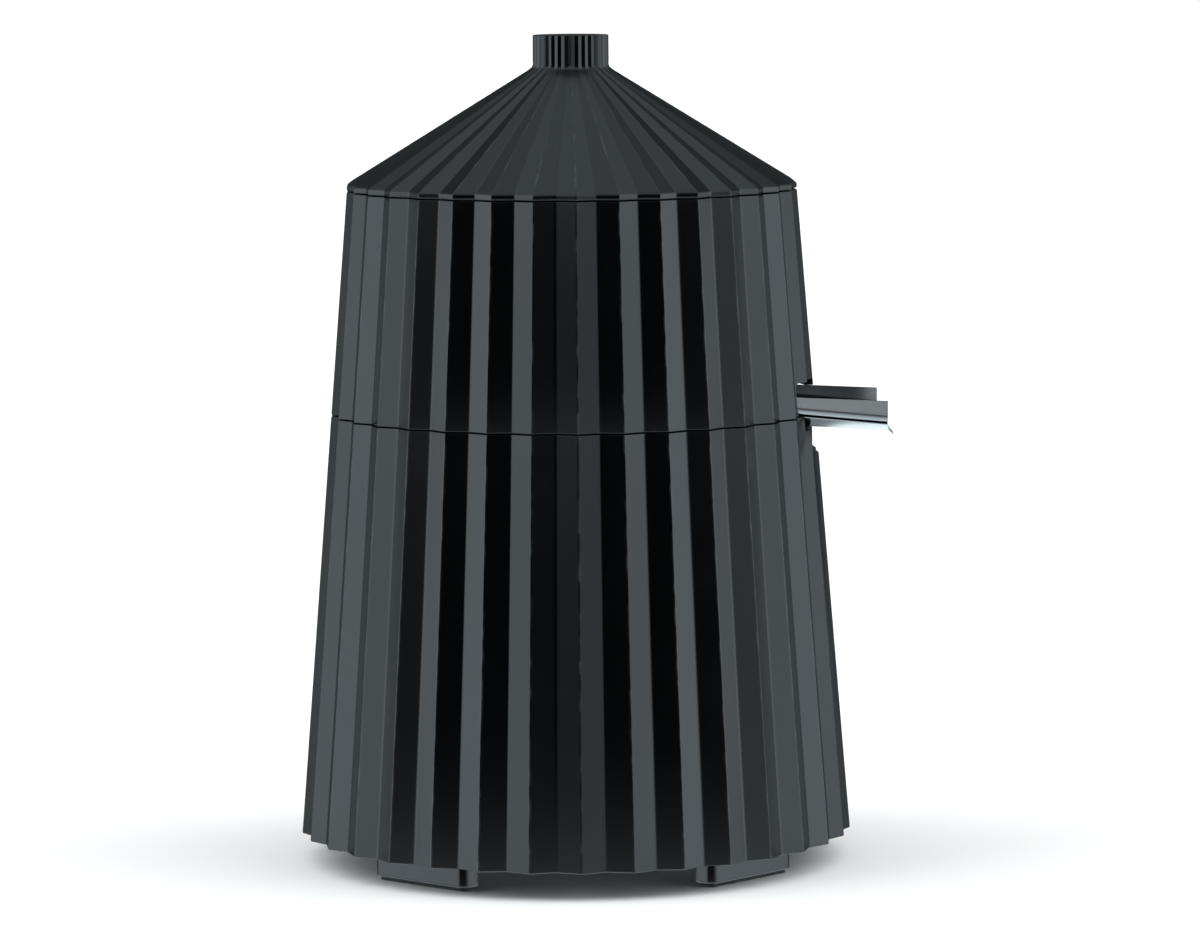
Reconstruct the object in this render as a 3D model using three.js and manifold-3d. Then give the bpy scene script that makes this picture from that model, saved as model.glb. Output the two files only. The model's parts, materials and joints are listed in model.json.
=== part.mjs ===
// Electric citrus squeezer with a pleated casing and a steel pouring spout.
// Millimetres, +Z up, feet on z = 0, the spout points along +X.

import * as THREE from 'three';
import { mergeVertices } from 'three/addons/utils/BufferGeometryUtils.js';
import Module from 'manifold-3d';

const wasm = await Module();
wasm.setup();

// ---------------------------------------------------------------- driving dimensions

const GAP = 0.3;                 // between neighbouring pieces that touch
const RUNNING = 0.1;             // radial clearance of a shaft in its bush
const THROUGH = 2;               // how far a cutting tool runs past the wall it cuts
const ROUND = 48;                // sides of the large round walls
const SCREW = { shank: 1.6, hole: 1.9 };

const PLEATS = 34;
const VALLEY = 0.9675;           // valley radius over ridge radius of the casing's pleats
const CASING_WALL = 2.6;

const SKIRT = { z: 9, ridge: 90 };            // lower edge of the casing
const BOWL_SEAM_Z = 146;                      // the bowl unit parts from the base here
const LID_SEAM = { z: 218.6, ridge: 73.2 };   // the lid parts from the bowl unit here
const LID_RIM_TOP_Z = 220.6;
const CONE_TOP = { z: 257.4, ridge: 13.4 };
const NECK = { z: 268.5, ridge: 12.3 };
const LID = { inward: 3.2, spigotInner: 64.8, spigotOuter: 67.6, spigotDepth: 5.7 };

const DECK = { bottom: 136, top: 139 };       // floor of the base's upper rim
const COLLAR = { radius: 9.3, bore: 6.5, top: 176 };
const PLATE = { bottom: 10, top: 14, radius: 83.4 };
const PLATE_SCREW_RADIUS = 77;                // circle of the four bottom screws
const PLATE_BOSS = { radius: 4.5, top: 40, hole: 12, toRidge: 9, toValley: 6.9, ribHalfWidth: 1.5 };
const VENTS = { count: 12, length: 18, width: 3, corner: 1.4, radius: 40, first: 15 };
const PEG = { radius: 3, hole: 3.3 };
const GLAND = { y: 62, hole: 6, bore: 3.2, neck: 5.7, flange: 7.5, flangeHeight: 1.3 };

const FOOT = { length: 39, depth: 9, face: 77.6, bottom: 1.3, corner: 3, pocket: 1.5 };
const FOOT_HALF_ANGLE = 43.5;
const FOOT_RING_TURN = 2;
const PAD = { inset: 1.3, top: 2.5 };

const WINDOW = { halfWidth: 26.7, top: 159, corner: 3, tongueHalfWidth: 7.4, tongueZ: 156.5 };
const RECESS = { x: 77.4, bottom: 134.1, slope: 1.9 };
const NOTCH = { halfWidth: 24.2, bottom: 141.2 };
const UPPER_WEB_TOP_Z = 150;                  // the bowl unit's wall is thick below this
const SPIGOT = { inner: 70.6, outer: 73.2, bottom: 141.5 };

const SPOUT = {
  innerX: 44, bodyX: 77, outerX: 101, tipX: 103, sheet: 1.0,
  halfWidth: 24.4, shoulder: 1.0, floorHalfWidth: 19.5,
  pivotX: 60, pivotZ: 149.5, pinRadius: 1.5,
  wallTop: [151.8, 150.7], crease: [146.3, 144], floor: [142.2, 140.7],   // z at bodyX, outerX
};

const BOWL = { rimZ: 209, mouth: 68, flange: 67.4, ledge: 63.5, outer: 63.2, wall: 2.4 };
const BOWL_FLOOR = { bottom: 158.4, top: 161, radius: 55 };
const BOWL_STEP_Z = 175;
const CHIMNEY = { bore: 9.8, outer: 12.4, top: 183.5 };
const NOZZLE = { x: 50, radius: 5.2, bore: 3.8, bottom: 152.6 };
const STRAINER = {
  hub: 27.5, radius: 60.2, sheet: 1.6, hubTop: 184, rimTop: 181,
  slots: 30, slotFrom: 33, slotTo: 53, slotHalfWidth: 1.1,
};
const REAMER = {
  flange: 33, bottom: 185.6, base: 190, ridges: 12, valley: 0.84, hub: 7.5, dome: 28.5, height: 50,
};

const SPINDLE = { radius: 4, bottom: 92, shoulder: 186, top: 206 };
const FRAME = { bottom: 96, top: 99, radius: 68 };
const FRAME_POST_RADIUS = 60;
const FRAME_POST_ANGLES = [40, 195, 290];
const FRAME_POST = { radius: 4.2, hole: 16 };
const GUIDE = { radius: 11, bore: 8.6, floor: 69, bottom: 66, hole: 3 };
const PLUNGER = { radius: 8.2, stem: 2.6, top: 91.7, bottom: 86, tip: 58 };
const SPRING = { radius: 6.2, wire: 0.6, turns: 5 };
const SWITCH = { pivotY: -10, pivotZ: 54, top: 52.8, bottom: 42, halfThick: 3.2, reach: 3.5 };

const MODULE_FINE = 1;           // motor pinion and idler wheel
const MODULE_COARSE = 1.25;      // idler pinion and output wheel
const TEETH = { motorPinion: 12, idlerWheel: 56, idlerPinion: 12, output: 48 };
const IDLER_DISTANCE = MODULE_COARSE * (TEETH.idlerPinion + TEETH.output) / 2;
const MOTOR_MESH_DISTANCE = MODULE_FINE * (TEETH.motorPinion + TEETH.idlerWheel) / 2;
const MOTOR = { distance: 40, angle: 150, radius: 26, bottom: 36, shaft: 2.5, rotor: 9 };
const MOTOR_CORE = { bottom: 52, top: 82, air: 0.7, overhang: 2 };
const MOTOR_SCREW_RADIUS = 15;
const OUTPUT_GEAR = { bottom: 118, top: 126, hub: 9, hubBottom: 114.5, hubTop: 130 };
const IDLER_GEAR = { bottom: 105, top: 111, pinionTop: 130, axle: 3 };
const MOTOR_PINION = { bottom: 104, top: 113 };
const CAPACITOR = { radius: 11, top: 50, distance: 46, angle: 240 };
const TERMINALS = { halfLength: 16, halfWidth: 7, height: 14, pitch: 10, well: 3, y: 38 };

// ---------------------------------------------------------------- derived places

const radians = (degrees) => degrees * Math.PI / 180;
const polar = (radius, degrees) => new THREE.Vector2(
  radius * Math.cos(radians(degrees)), radius * Math.sin(radians(degrees)));

// Ridge radius of the straight-tapered casing at a height.
function ridgeAt(z) {
  const share = (z - SKIRT.z) / (LID_SEAM.z - SKIRT.z);
  return SKIRT.ridge + share * (LID_SEAM.ridge - SKIRT.ridge);
}

// The idler sits where both of its meshes close: the law of cosines gives its angle.
const idlerAngle = MOTOR.angle - Math.acos(
  (IDLER_DISTANCE ** 2 + MOTOR.distance ** 2 - MOTOR_MESH_DISTANCE ** 2)
  / (2 * IDLER_DISTANCE * MOTOR.distance)) * 180 / Math.PI;
const motorAxis = polar(MOTOR.distance, MOTOR.angle);
const idlerAxis = polar(IDLER_DISTANCE, idlerAngle);
const footAngles = [-90 - FOOT_HALF_ANGLE, -90 + FOOT_HALF_ANGLE,
  90 - FOOT_HALF_ANGLE, 90 + FOOT_HALF_ANGLE].map((angle) => angle + FOOT_RING_TURN);
const plateScrewAngles = [0, 90, 180, 270];

// ---------------------------------------------------------------- finishes

const charcoal = { color: 0x2b2f31, roughness: 0.42, metalness: 0 };
const blackPlastic = { color: 0x161819, roughness: 0.5, metalness: 0 };
const smokePlastic = { color: 0x33383b, roughness: 0.35, metalness: 0 };
const rubber = { color: 0x0b0b0c, roughness: 0.85, metalness: 0 };
const satinSteel = { color: 0xb9bcc0, roughness: 0.28, metalness: 1 };
const plainSteel = { color: 0x9a9da1, roughness: 0.4, metalness: 1 };
const bronze = { color: 0x9c7a45, roughness: 0.45, metalness: 1 };
const gearNylon = { color: 0xe4e1d6, roughness: 0.5, metalness: 0 };
const copper = { color: 0xa65a2e, roughness: 0.4, metalness: 1 };
const switchRed = { color: 0x7d1f1c, roughness: 0.5, metalness: 0 };
const greyPlastic = { color: 0x8a8d8f, roughness: 0.55, metalness: 0 };

// ---------------------------------------------------------------- solid helpers

// A closed three.js geometry as a manifold solid, turned the right way out.
function solid(geometry) {
  const bare = geometry.index ? geometry.clone() : geometry;
  bare.deleteAttribute('normal');
  bare.deleteAttribute('uv');
  const merged = mergeVertices(bare, 1e-4);
  const build = (triangles) => new wasm.Manifold(new wasm.Mesh({
    numProp: 3,
    vertProperties: new Float32Array(merged.attributes.position.array),
    triVerts: triangles,
  }));
  const triangles = new Uint32Array(merged.index.array);
  const made = build(triangles);
  return made.volume() > 0 ? made : build(triangles.reverse());
}

function geometryOf(body) {
  const mesh = body.getMesh();
  const geometry = new THREE.BufferGeometry();
  geometry.setAttribute('position', new THREE.BufferAttribute(mesh.vertProperties, 3));
  geometry.setIndex(new THREE.BufferAttribute(mesh.triVerts, 1));
  geometry.computeVertexNormals();
  return geometry;
}

// Skin through rings of equal point count, closed by a flat cap at each end.
function loft(rings, capAxes = ['x', 'y']) {
  const count = rings[0].length;
  const positions = rings.flat().flatMap((point) => [point.x, point.y, point.z]);
  const outline = rings[0].map((point) => new THREE.Vector2(point[capAxes[0]], point[capAxes[1]]));
  const last = (rings.length - 1) * count;
  const faces = [];
  for (const cap of THREE.ShapeUtils.triangulateShape(outline, [])) {
    const [a, b, c] = THREE.ShapeUtils.isClockWise(outline) ? cap.reverse() : cap;
    faces.push(c, b, a, last + a, last + b, last + c);
  }
  for (let ring = 0; ring < rings.length - 1; ring++) {
    for (let i = 0; i < count; i++) {
      const low = ring * count + i;
      const next = ring * count + (i + 1) % count;
      faces.push(low, next, next + count, low, next + count, low + count);
    }
  }
  const geometry = new THREE.BufferGeometry();
  geometry.setAttribute('position', new THREE.Float32BufferAttribute(positions, 3));
  geometry.setIndex(faces);
  return solid(geometry);
}

// Solid of revolution about Z from a closed outline of [radius, z] points.
function turned(outline, segments = 48) {
  const profile = [...outline, outline[0]].map(([radius, z]) => new THREE.Vector2(radius, z));
  return solid(new THREE.LatheGeometry(profile, segments).rotateX(Math.PI / 2));
}

function cylinder(radius, bottom, top, segments = 32, topRadius = radius) {
  const geometry = new THREE.CylinderGeometry(topRadius, radius, top - bottom, segments);
  return solid(geometry.rotateX(Math.PI / 2).translate(0, 0, (bottom + top) / 2));
}

function box(low, high) {
  const size = high.map((value, axis) => value - low[axis]);
  const centre = high.map((value, axis) => (value + low[axis]) / 2);
  return solid(new THREE.BoxGeometry(...size).translate(...centre));
}

// Shape pulled up between two heights; an arc is cut into twice curveSegments pieces.
function upright(shape, bottom, top, curveSegments = 2) {
  const options = { depth: top - bottom, bevelEnabled: false, curveSegments };
  return solid(new THREE.ExtrudeGeometry(shape, options).translate(0, 0, bottom));
}

function roundedRectangle(length, depth, corner) {
  const x = length / 2 - corner;
  const y = depth / 2 - corner;
  const shape = new THREE.Shape();
  shape.absarc(x, y, corner, 0, Math.PI / 2);
  shape.absarc(-x, y, corner, Math.PI / 2, Math.PI);
  shape.absarc(-x, -y, corner, Math.PI, Math.PI * 1.5);
  shape.absarc(x, -y, corner, Math.PI * 1.5, Math.PI * 2);
  return shape;
}

const moved = (body, point, z = 0) => body.translate([point.x, point.y, z]);
const unite = (bodies) => bodies.reduce((whole, body) => whole.add(body));

// ---------------------------------------------------------------- pleats

// One pleated ring: ridges and valleys alternate, with a valley on the +X axis.
function pleatedRing(ridge, z, pleats = PLEATS, valley = VALLEY) {
  return Array.from({ length: 2 * pleats }, (_, i) => {
    const radius = i % 2 === 0 ? ridge * valley : ridge;
    const angle = i * Math.PI / pleats;
    return new THREE.Vector3(radius * Math.cos(angle), radius * Math.sin(angle), z);
  });
}

const pleated = (levels) => loft(levels.map(([ridge, z]) => pleatedRing(ridge, z)));

// A length of the tapered casing, drawn in by an even amount all round.
function casingCore(bottom, top, inward = 0) {
  return pleated([[ridgeAt(bottom) - inward, bottom], [ridgeAt(top) - inward, top]]);
}

// ---------------------------------------------------------------- base

// Cuts under the spout: a shallow flat on the ridges and a notch through the rim.
function spoutClearance() {
  const side = SPOUT.halfWidth;
  const flat = [-side, side].map((y) => [
    new THREE.Vector3(RECESS.x, y, RECESS.bottom),
    new THREE.Vector3(SKIRT.ridge, y, RECESS.bottom - RECESS.slope * 4),
    new THREE.Vector3(SKIRT.ridge, y, BOWL_SEAM_Z + THROUGH),
    new THREE.Vector3(RECESS.x, y, BOWL_SEAM_Z + THROUGH),
  ]);
  const notch = box([RECESS.x - 12, -NOTCH.halfWidth, NOTCH.bottom],
    [SKIRT.ridge, NOTCH.halfWidth, BOWL_SEAM_Z + THROUGH]);
  return loft(flat, ['x', 'z']).add(notch);
}

// Boss for a bottom screw, tied to the skirt by a rib. The bosses on the X axis face a valley of
// the pleats, the other two a ridge.
function plateBoss(angle) {
  const { radius, top, toRidge, toValley, ribHalfWidth } = PLATE_BOSS;
  const ribReach = angle % 180 === 0 ? toValley : toRidge;
  const boss = cylinder(radius, PLATE.top + GAP, top, 20);
  const hole = cylinder(SCREW.hole, PLATE.top - THROUGH, top - PLATE_BOSS.hole, 16);
  const rib = box([radius - 1.5, -ribHalfWidth, PLATE.top + GAP], [ribReach, ribHalfWidth, top]);
  return boss.add(rib).subtract(hole).translate([PLATE_SCREW_RADIUS, 0, 0]).rotate([0, 0, angle]);
}

function framePost(angle) {
  const bottom = FRAME.top + GAP;
  const post = cylinder(FRAME_POST.radius, bottom, DECK.bottom + 1, 20);
  const hole = cylinder(SCREW.hole, bottom - THROUGH, bottom + FRAME_POST.hole, 16);
  return moved(post.subtract(hole), polar(FRAME_POST_RADIUS, angle));
}

function baseHousing() {
  const seam = BOWL_SEAM_Z - GAP / 2;
  const outside = casingCore(SKIRT.z, seam);
  const lowerSpace = casingCore(SKIRT.z - THROUGH, DECK.bottom, CASING_WALL);
  const upperSpace = casingCore(DECK.top, seam + THROUGH, CASING_WALL);
  const collar = cylinder(COLLAR.radius, DECK.top - 1, COLLAR.top, 40);
  const bore = cylinder(COLLAR.bore, DECK.bottom - THROUGH, COLLAR.top + THROUGH, 40);
  const bosses = [...plateScrewAngles.map(plateBoss), ...FRAME_POST_ANGLES.map(framePost)];
  const shell = outside.subtract(lowerSpace).subtract(upperSpace).add(collar);
  return unite([shell, ...bosses]).subtract(bore).subtract(spoutClearance());
}

function bottomPlate() {
  const plate = cylinder(PLATE.radius, PLATE.bottom, PLATE.top, 60);
  const [under, over] = [PLATE.bottom - THROUGH, PLATE.top + THROUGH];
  const slot = roundedRectangle(VENTS.length, VENTS.width, VENTS.corner);
  const vents = Array.from({ length: VENTS.count }, (_, i) => upright(slot, under, over, 1)
    .translate([VENTS.radius, 0, 0]).rotate([0, 0, VENTS.first + i * 360 / VENTS.count]));
  const countersink = PLATE.bottom + 2.2;
  const screwHoles = plateScrewAngles.map((angle) => cylinder(SCREW.hole, under, over, 10)
    .add(cylinder(4, under, countersink, 14))
    .translate([PLATE_SCREW_RADIUS, 0, 0]).rotate([0, 0, angle]));
  const pegHoles = footAngles.map((angle) => moved(
    cylinder(PEG.hole, under, over, 12), polar(FOOT.face - FOOT.depth / 2, angle)));
  const glandHole = cylinder(GLAND.hole, under, over, 24).translate([0, GLAND.y, 0]);
  return plate.subtract(unite([...vents, ...screwHoles, ...pegHoles, glandHole]));
}

// Foot block in its own frame: X runs outward, the long face is at x = FOOT.face.
function foot() {
  const block = upright(roundedRectangle(FOOT.depth, FOOT.length, FOOT.corner),
    FOOT.bottom, PLATE.bottom - GAP);
  const pocket = upright(roundedRectangle(FOOT.depth - 2 * PAD.inset + 2 * GAP,
    FOOT.length - 2 * PAD.inset + 2 * GAP, FOOT.corner - PAD.inset / 2),
  FOOT.bottom - THROUGH, FOOT.bottom + FOOT.pocket);
  const peg = cylinder(PEG.radius, PLATE.bottom - 1, PLATE.top, 12);
  return block.add(peg).subtract(pocket);
}

function footPad() {
  return upright(roundedRectangle(FOOT.depth - 2 * PAD.inset,
    FOOT.length - 2 * PAD.inset, FOOT.corner - PAD.inset / 2), 0, PAD.top);
}

const atFoot = (body, angle) => body.translate([FOOT.face - FOOT.depth / 2, 0, 0])
  .rotate([0, 0, angle]);

// Screw pointing up, its head's underside at z = 0.
function screw(headRadius, headHeight, length) {
  const shank = cylinder(SCREW.shank, -0.5, length, 10);
  const head = cylinder(headRadius, -headHeight, 0, 14);
  const slot = box([-headRadius, -0.45, -headHeight - 1], [headRadius, 0.45, -headHeight * 0.45]);
  return head.add(shank).subtract(slot);
}

// Rubber grommet that the supply cord leaves through, gripping the plate's edge.
function cordGland() {
  const [under, over] = [PLATE.bottom - GAP, PLATE.top + GAP];
  const { bore, neck, flange, flangeHeight } = GLAND;
  const [bottom, top] = [under - flangeHeight, over + flangeHeight];
  return turned([[bore, bottom], [flange, bottom], [flange, under], [neck, under],
    [neck, over], [flange, over], [flange, top], [bore, top]], 20).translate([0, GLAND.y, 0]);
}

// ---------------------------------------------------------------- drive

// Outline of a spur gear with straight-sided teeth; phase turns it, in tooth pitches.
function gearOutline(teeth, module, phase) {
  const pitchRadius = teeth * module / 2;
  const corners = [[-0.36, -1.15], [-0.13, 0.9], [0.13, 0.9], [0.36, -1.15]];
  const points = [];
  for (let tooth = 0; tooth < teeth; tooth++) {
    for (const [side, height] of corners) {
      const angle = 2 * Math.PI * (tooth + phase + side) / teeth;
      const radius = pitchRadius + height * module;
      points.push(new THREE.Vector2(radius * Math.cos(angle), radius * Math.sin(angle)));
    }
  }
  return new THREE.Shape(points);
}

// Tooth phase that puts a tooth (0) or a gap (0.5) of a gear on a given direction.
const phaseTowards = (teeth, degrees, offset) => teeth * degrees / 360 + offset;

const directionTo = (from, to) => Math.atan2(to.y - from.y, to.x - from.x) * 180 / Math.PI;
const centre = new THREE.Vector2(0, 0);

function outputGear() {
  const phase = phaseTowards(TEETH.output, directionTo(centre, idlerAxis), 0);
  const { bottom, top, hub, hubBottom, hubTop } = OUTPUT_GEAR;
  const wheel = upright(gearOutline(TEETH.output, MODULE_COARSE, phase), bottom, top);
  const bore = cylinder(SPINDLE.radius + GAP, hubBottom - THROUGH, hubTop + THROUGH, 32);
  return wheel.add(cylinder(hub, hubBottom, hubTop, 32)).subtract(bore);
}

function idlerGear() {
  const { bottom, top, pinionTop, axle } = IDLER_GEAR;
  const toMotor = directionTo(idlerAxis, motorAxis);
  const toCentre = directionTo(idlerAxis, centre);
  const wheel = upright(gearOutline(TEETH.idlerWheel, MODULE_FINE,
    phaseTowards(TEETH.idlerWheel, toMotor, 0)), bottom, top);
  const pinion = upright(gearOutline(TEETH.idlerPinion, MODULE_COARSE,
    phaseTowards(TEETH.idlerPinion, toCentre, 0.5)), top - 0.5, pinionTop);
  const bore = cylinder(axle + RUNNING, bottom - THROUGH, pinionTop + THROUGH, 32);
  return moved(wheel.add(pinion).subtract(bore), idlerAxis);
}

function motorPinion() {
  const phase = phaseTowards(TEETH.motorPinion, directionTo(motorAxis, idlerAxis), 0.5);
  const { bottom, top } = MOTOR_PINION;
  const gear = upright(gearOutline(TEETH.motorPinion, MODULE_FINE, phase), bottom, top);
  const bore = cylinder(MOTOR.shaft + GAP, bottom - THROUGH, top + THROUGH, 24);
  return moved(gear.subtract(bore), motorAxis);
}

const idlerAxle = () => moved(
  cylinder(IDLER_GEAR.axle, FRAME.bottom, DECK.bottom - 1, 32), idlerAxis);

// Round shaft with a hexagonal upper end that drives the reamer.
function driveSpindle() {
  const round = cylinder(SPINDLE.radius, SPINDLE.bottom, SPINDLE.shoulder, 32);
  const hexagon = cylinder(SPINDLE.radius, SPINDLE.shoulder - 1, SPINDLE.top, 6);
  return round.add(hexagon);
}

function bush(bottom, top, outer) {
  const inner = SPINDLE.radius + RUNNING;
  return turned([[inner, bottom], [outer, bottom], [outer, top], [inner, top]], 24);
}

function lipSeal() {
  const outer = COLLAR.bore - GAP;
  const lip = SPINDLE.radius + RUNNING;
  return turned([[lip + 0.9, COLLAR.top - 4], [outer, COLLAR.top - 4], [outer, COLLAR.top],
    [lip, COLLAR.top], [lip, COLLAR.top - 0.8], [lip + 0.9, COLLAR.top - 2]], 24);
}

function gearFrame() {
  const hole = (radius, segments) => cylinder(
    radius, FRAME.bottom - THROUGH, FRAME.top + THROUGH, segments);
  const holes = FRAME_POST_ANGLES.map((angle) => moved(
    hole(SCREW.hole, 16), polar(FRAME_POST_RADIUS, angle)));
  const spindleHole = hole(7.2, 32);
  const axleHole = moved(hole(IDLER_GEAR.axle + GAP, 32), idlerAxis);
  const shaftHole = moved(hole(6, 24), motorAxis);
  const screwHoles = [-1, 1].map((side) => moved(hole(SCREW.hole, 16), motorScrewPoint(side)));
  return cylinder(FRAME.radius, FRAME.bottom, FRAME.top, 48)
    .subtract(unite([...holes, spindleHole, axleHole, shaftHole, ...screwHoles]));
}

// Cup under the gear frame that guides the plunger, with an arm that carries the switch.
function plungerGuide() {
  const cup = cylinder(GUIDE.radius, GUIDE.bottom, FRAME.bottom - GAP, 24)
    .subtract(cylinder(GUIDE.bore, GUIDE.floor, FRAME.bottom + THROUGH, 24))
    .subtract(cylinder(GUIDE.hole, GUIDE.bottom - THROUGH, GUIDE.floor + THROUGH, 24));
  const armSide = -SWITCH.halfThick - GAP;
  const arm = box([armSide - 2.5, -9, SWITCH.bottom], [armSide, 6, GUIDE.bottom + 1]);
  return cup.add(arm);
}

function plunger() {
  const disc = cylinder(PLUNGER.radius, PLUNGER.bottom, PLUNGER.top, 32);
  return disc.add(cylinder(PLUNGER.stem, PLUNGER.tip, PLUNGER.bottom + 1, 24));
}

class SpringPath extends THREE.Curve {
  getPoint(t) {
    const low = GUIDE.floor + SPRING.wire + GAP;
    const high = PLUNGER.bottom - SPRING.wire - GAP;
    const angle = t * SPRING.turns * 2 * Math.PI;
    return new THREE.Vector3(SPRING.radius * Math.cos(angle), SPRING.radius * Math.sin(angle),
      low + t * (high - low));
  }
}

function returnSpring() {
  const section = new THREE.Shape().absarc(0, 0, SPRING.wire, 0, 2 * Math.PI);
  return solid(new THREE.ExtrudeGeometry(section, {
    steps: SPRING.turns * 12, curveSegments: 3, extrudePath: new SpringPath(),
  }));
}

function microSwitch() {
  const body = box([-SWITCH.halfThick, SWITCH.pivotY - 3, SWITCH.bottom],
    [SWITCH.halfThick, 7, SWITCH.top]);
  const terminals = [-9, -3, 4].map((y) => box([-0.4, y - 1.6, SWITCH.bottom - 6],
    [0.4, y + 1.6, SWITCH.bottom + 1]));
  return unite([body, ...terminals]);
}

// Spring-steel lever from its pivot up to the plunger's tip.
function switchLever() {
  const rise = PLUNGER.tip - GAP - SWITCH.pivotZ - 0.9;
  const slope = Math.atan2(rise, -SWITCH.pivotY) * 180 / Math.PI;
  const blade = box([-2, 0, -0.3], [2, -SWITCH.pivotY + SWITCH.reach, 0.3]);
  const eye = solid(new THREE.CylinderGeometry(0.8, 0.8, 4, 16).rotateZ(Math.PI / 2));
  return blade.add(eye).rotate([slope, 0, 0]).translate([0, SWITCH.pivotY, SWITCH.pivotZ]);
}

// ---------------------------------------------------------------- motor

const motorScrewOffset = (side) => polar(MOTOR_SCREW_RADIUS * side, MOTOR.angle + 90);
const motorScrewPoint = (side) => motorAxis.clone().add(motorScrewOffset(side));

function motorCan() {
  const top = FRAME.bottom - GAP;
  const inner = MOTOR.radius - 1.6;
  const cup = turned([[MOTOR.shaft + RUNNING, top - 4], [6, top - 4], [6, top - 2], [inner, top - 2],
    [inner, MOTOR.bottom], [MOTOR.radius, MOTOR.bottom], [MOTOR.radius, top],
    [MOTOR.shaft + RUNNING, top]], 32);
  const holes = [-1, 1].map((side) => moved(
    cylinder(SCREW.hole, top - 6, top + THROUGH, 16), motorScrewOffset(side)));
  return moved(cup.subtract(unite(holes)), motorAxis);
}

function motorEndBell() {
  const top = MOTOR.bottom - GAP;
  const shaft = MOTOR.shaft + RUNNING;
  return moved(turned([[shaft, top - 5], [8, top - 5], [9, top - 2.4], [MOTOR.radius, top - 2.4],
    [MOTOR.radius, top], [shaft, top]], 32), motorAxis);
}

function motorStator() {
  const { bottom, top, air } = MOTOR_CORE;
  const inner = MOTOR.rotor + air;
  const outer = MOTOR.radius - 1.9;
  return moved(turned([[inner, bottom], [outer, bottom], [outer, top], [inner, top]], 32), motorAxis);
}

function motorRotor() {
  const { bottom, top, overhang } = MOTOR_CORE;
  const magnet = cylinder(MOTOR.rotor, bottom + overhang, top - overhang, 32);
  const shaft = cylinder(MOTOR.shaft, MOTOR.bottom - 8, MOTOR_PINION.top + 1, 24);
  return moved(magnet.add(shaft), motorAxis);
}

const capacitor = () => moved(cylinder(CAPACITOR.radius, PLATE.top + GAP, CAPACITOR.top, 28),
  polar(CAPACITOR.distance, CAPACITOR.angle));

function terminalBlock() {
  const { halfLength, halfWidth, height, pitch, well, y } = TERMINALS;
  const top = PLATE.top + height;
  const body = box([-halfLength, -halfWidth, PLATE.top + GAP], [halfLength, halfWidth, top]);
  const wells = [-pitch, 0, pitch].map((x) => cylinder(well, top - 7, top + THROUGH, 16)
    .translate([x, 0, 0]));
  return body.subtract(unite(wells)).translate([0, y, 0]);
}

// ---------------------------------------------------------------- bowl unit

// The opening that the spout comes through: open below, rounded at the top corners. Between
// the two slots that its walls swing in, a tongue of the casing reaches lower.
function spoutWindow() {
  const { halfWidth, top, corner, tongueHalfWidth, tongueZ } = WINDOW;
  const bottom = BOWL_SEAM_Z - 8;
  const shape = new THREE.Shape();
  shape.moveTo(-halfWidth, bottom);
  shape.lineTo(halfWidth, bottom);
  shape.absarc(halfWidth - corner, top - corner, corner, 0, Math.PI / 2);
  shape.lineTo(tongueHalfWidth, top);
  shape.lineTo(tongueHalfWidth, tongueZ);
  shape.lineTo(-tongueHalfWidth, tongueZ);
  shape.lineTo(-tongueHalfWidth, top);
  shape.absarc(-halfWidth + corner, top - corner, corner, Math.PI / 2, Math.PI);
  const geometry = new THREE.ExtrudeGeometry(shape, { depth: 40, bevelEnabled: false, curveSegments: 5 });
  return solid(geometry.rotateX(Math.PI / 2).rotateZ(Math.PI / 2).translate(SPOUT.innerX + 6, 0, 0));
}

function upperHousing() {
  const [bottom, top] = [BOWL_SEAM_Z + GAP / 2, LID_SEAM.z - GAP / 2];
  const webTop = UPPER_WEB_TOP_Z;
  const outside = casingCore(bottom, top);
  const mouth = cylinder(BOWL.mouth, BOWL.rimZ, top + THROUGH, ROUND);
  const throat = cylinder(BOWL.ledge, webTop, BOWL.rimZ + 1, ROUND);
  const space = casingCore(webTop, BOWL.rimZ - 4, CASING_WALL);
  const foot = casingCore(bottom - THROUGH, webTop - 3, CASING_WALL);
  const spigot = cylinder(SPIGOT.outer, SPIGOT.bottom, webTop - 1, ROUND);
  const opening = cylinder(SPIGOT.inner, SPIGOT.bottom - THROUGH, webTop + 1, ROUND);
  return outside.subtract(unite([mouth, throat, space, foot])).add(spigot)
    .subtract(opening).subtract(spoutWindow());
}

function juiceBowl() {
  const inner = BOWL.outer - BOWL.wall;
  const step = inner - 3.4;
  const body = turned([
    [CHIMNEY.bore, BOWL_FLOOR.bottom], [BOWL_FLOOR.radius, BOWL_FLOOR.bottom],
    [step + BOWL.wall, BOWL_STEP_Z - 6], [BOWL.outer, BOWL_STEP_Z], [BOWL.outer, BOWL.rimZ + GAP],
    [BOWL.flange, BOWL.rimZ + GAP], [BOWL.flange, BOWL.rimZ + GAP + 2.2],
    [inner, BOWL.rimZ + GAP + 2.2], [inner, BOWL_STEP_Z], [step, BOWL_STEP_Z],
    [BOWL_FLOOR.radius - 1.6, BOWL_FLOOR.top], [CHIMNEY.outer + 2, BOWL_FLOOR.top],
    [CHIMNEY.outer, CHIMNEY.top], [CHIMNEY.bore, CHIMNEY.top],
  ], ROUND);
  const nozzle = cylinder(NOZZLE.radius, NOZZLE.bottom, BOWL_FLOOR.bottom + 1, 28);
  const outlet = cylinder(NOZZLE.bore, NOZZLE.bottom - THROUGH, BOWL_FLOOR.top + THROUGH, 28);
  return body.add(nozzle.translate([NOZZLE.x, 0, 0])).subtract(outlet.translate([NOZZLE.x, 0, 0]));
}

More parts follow.
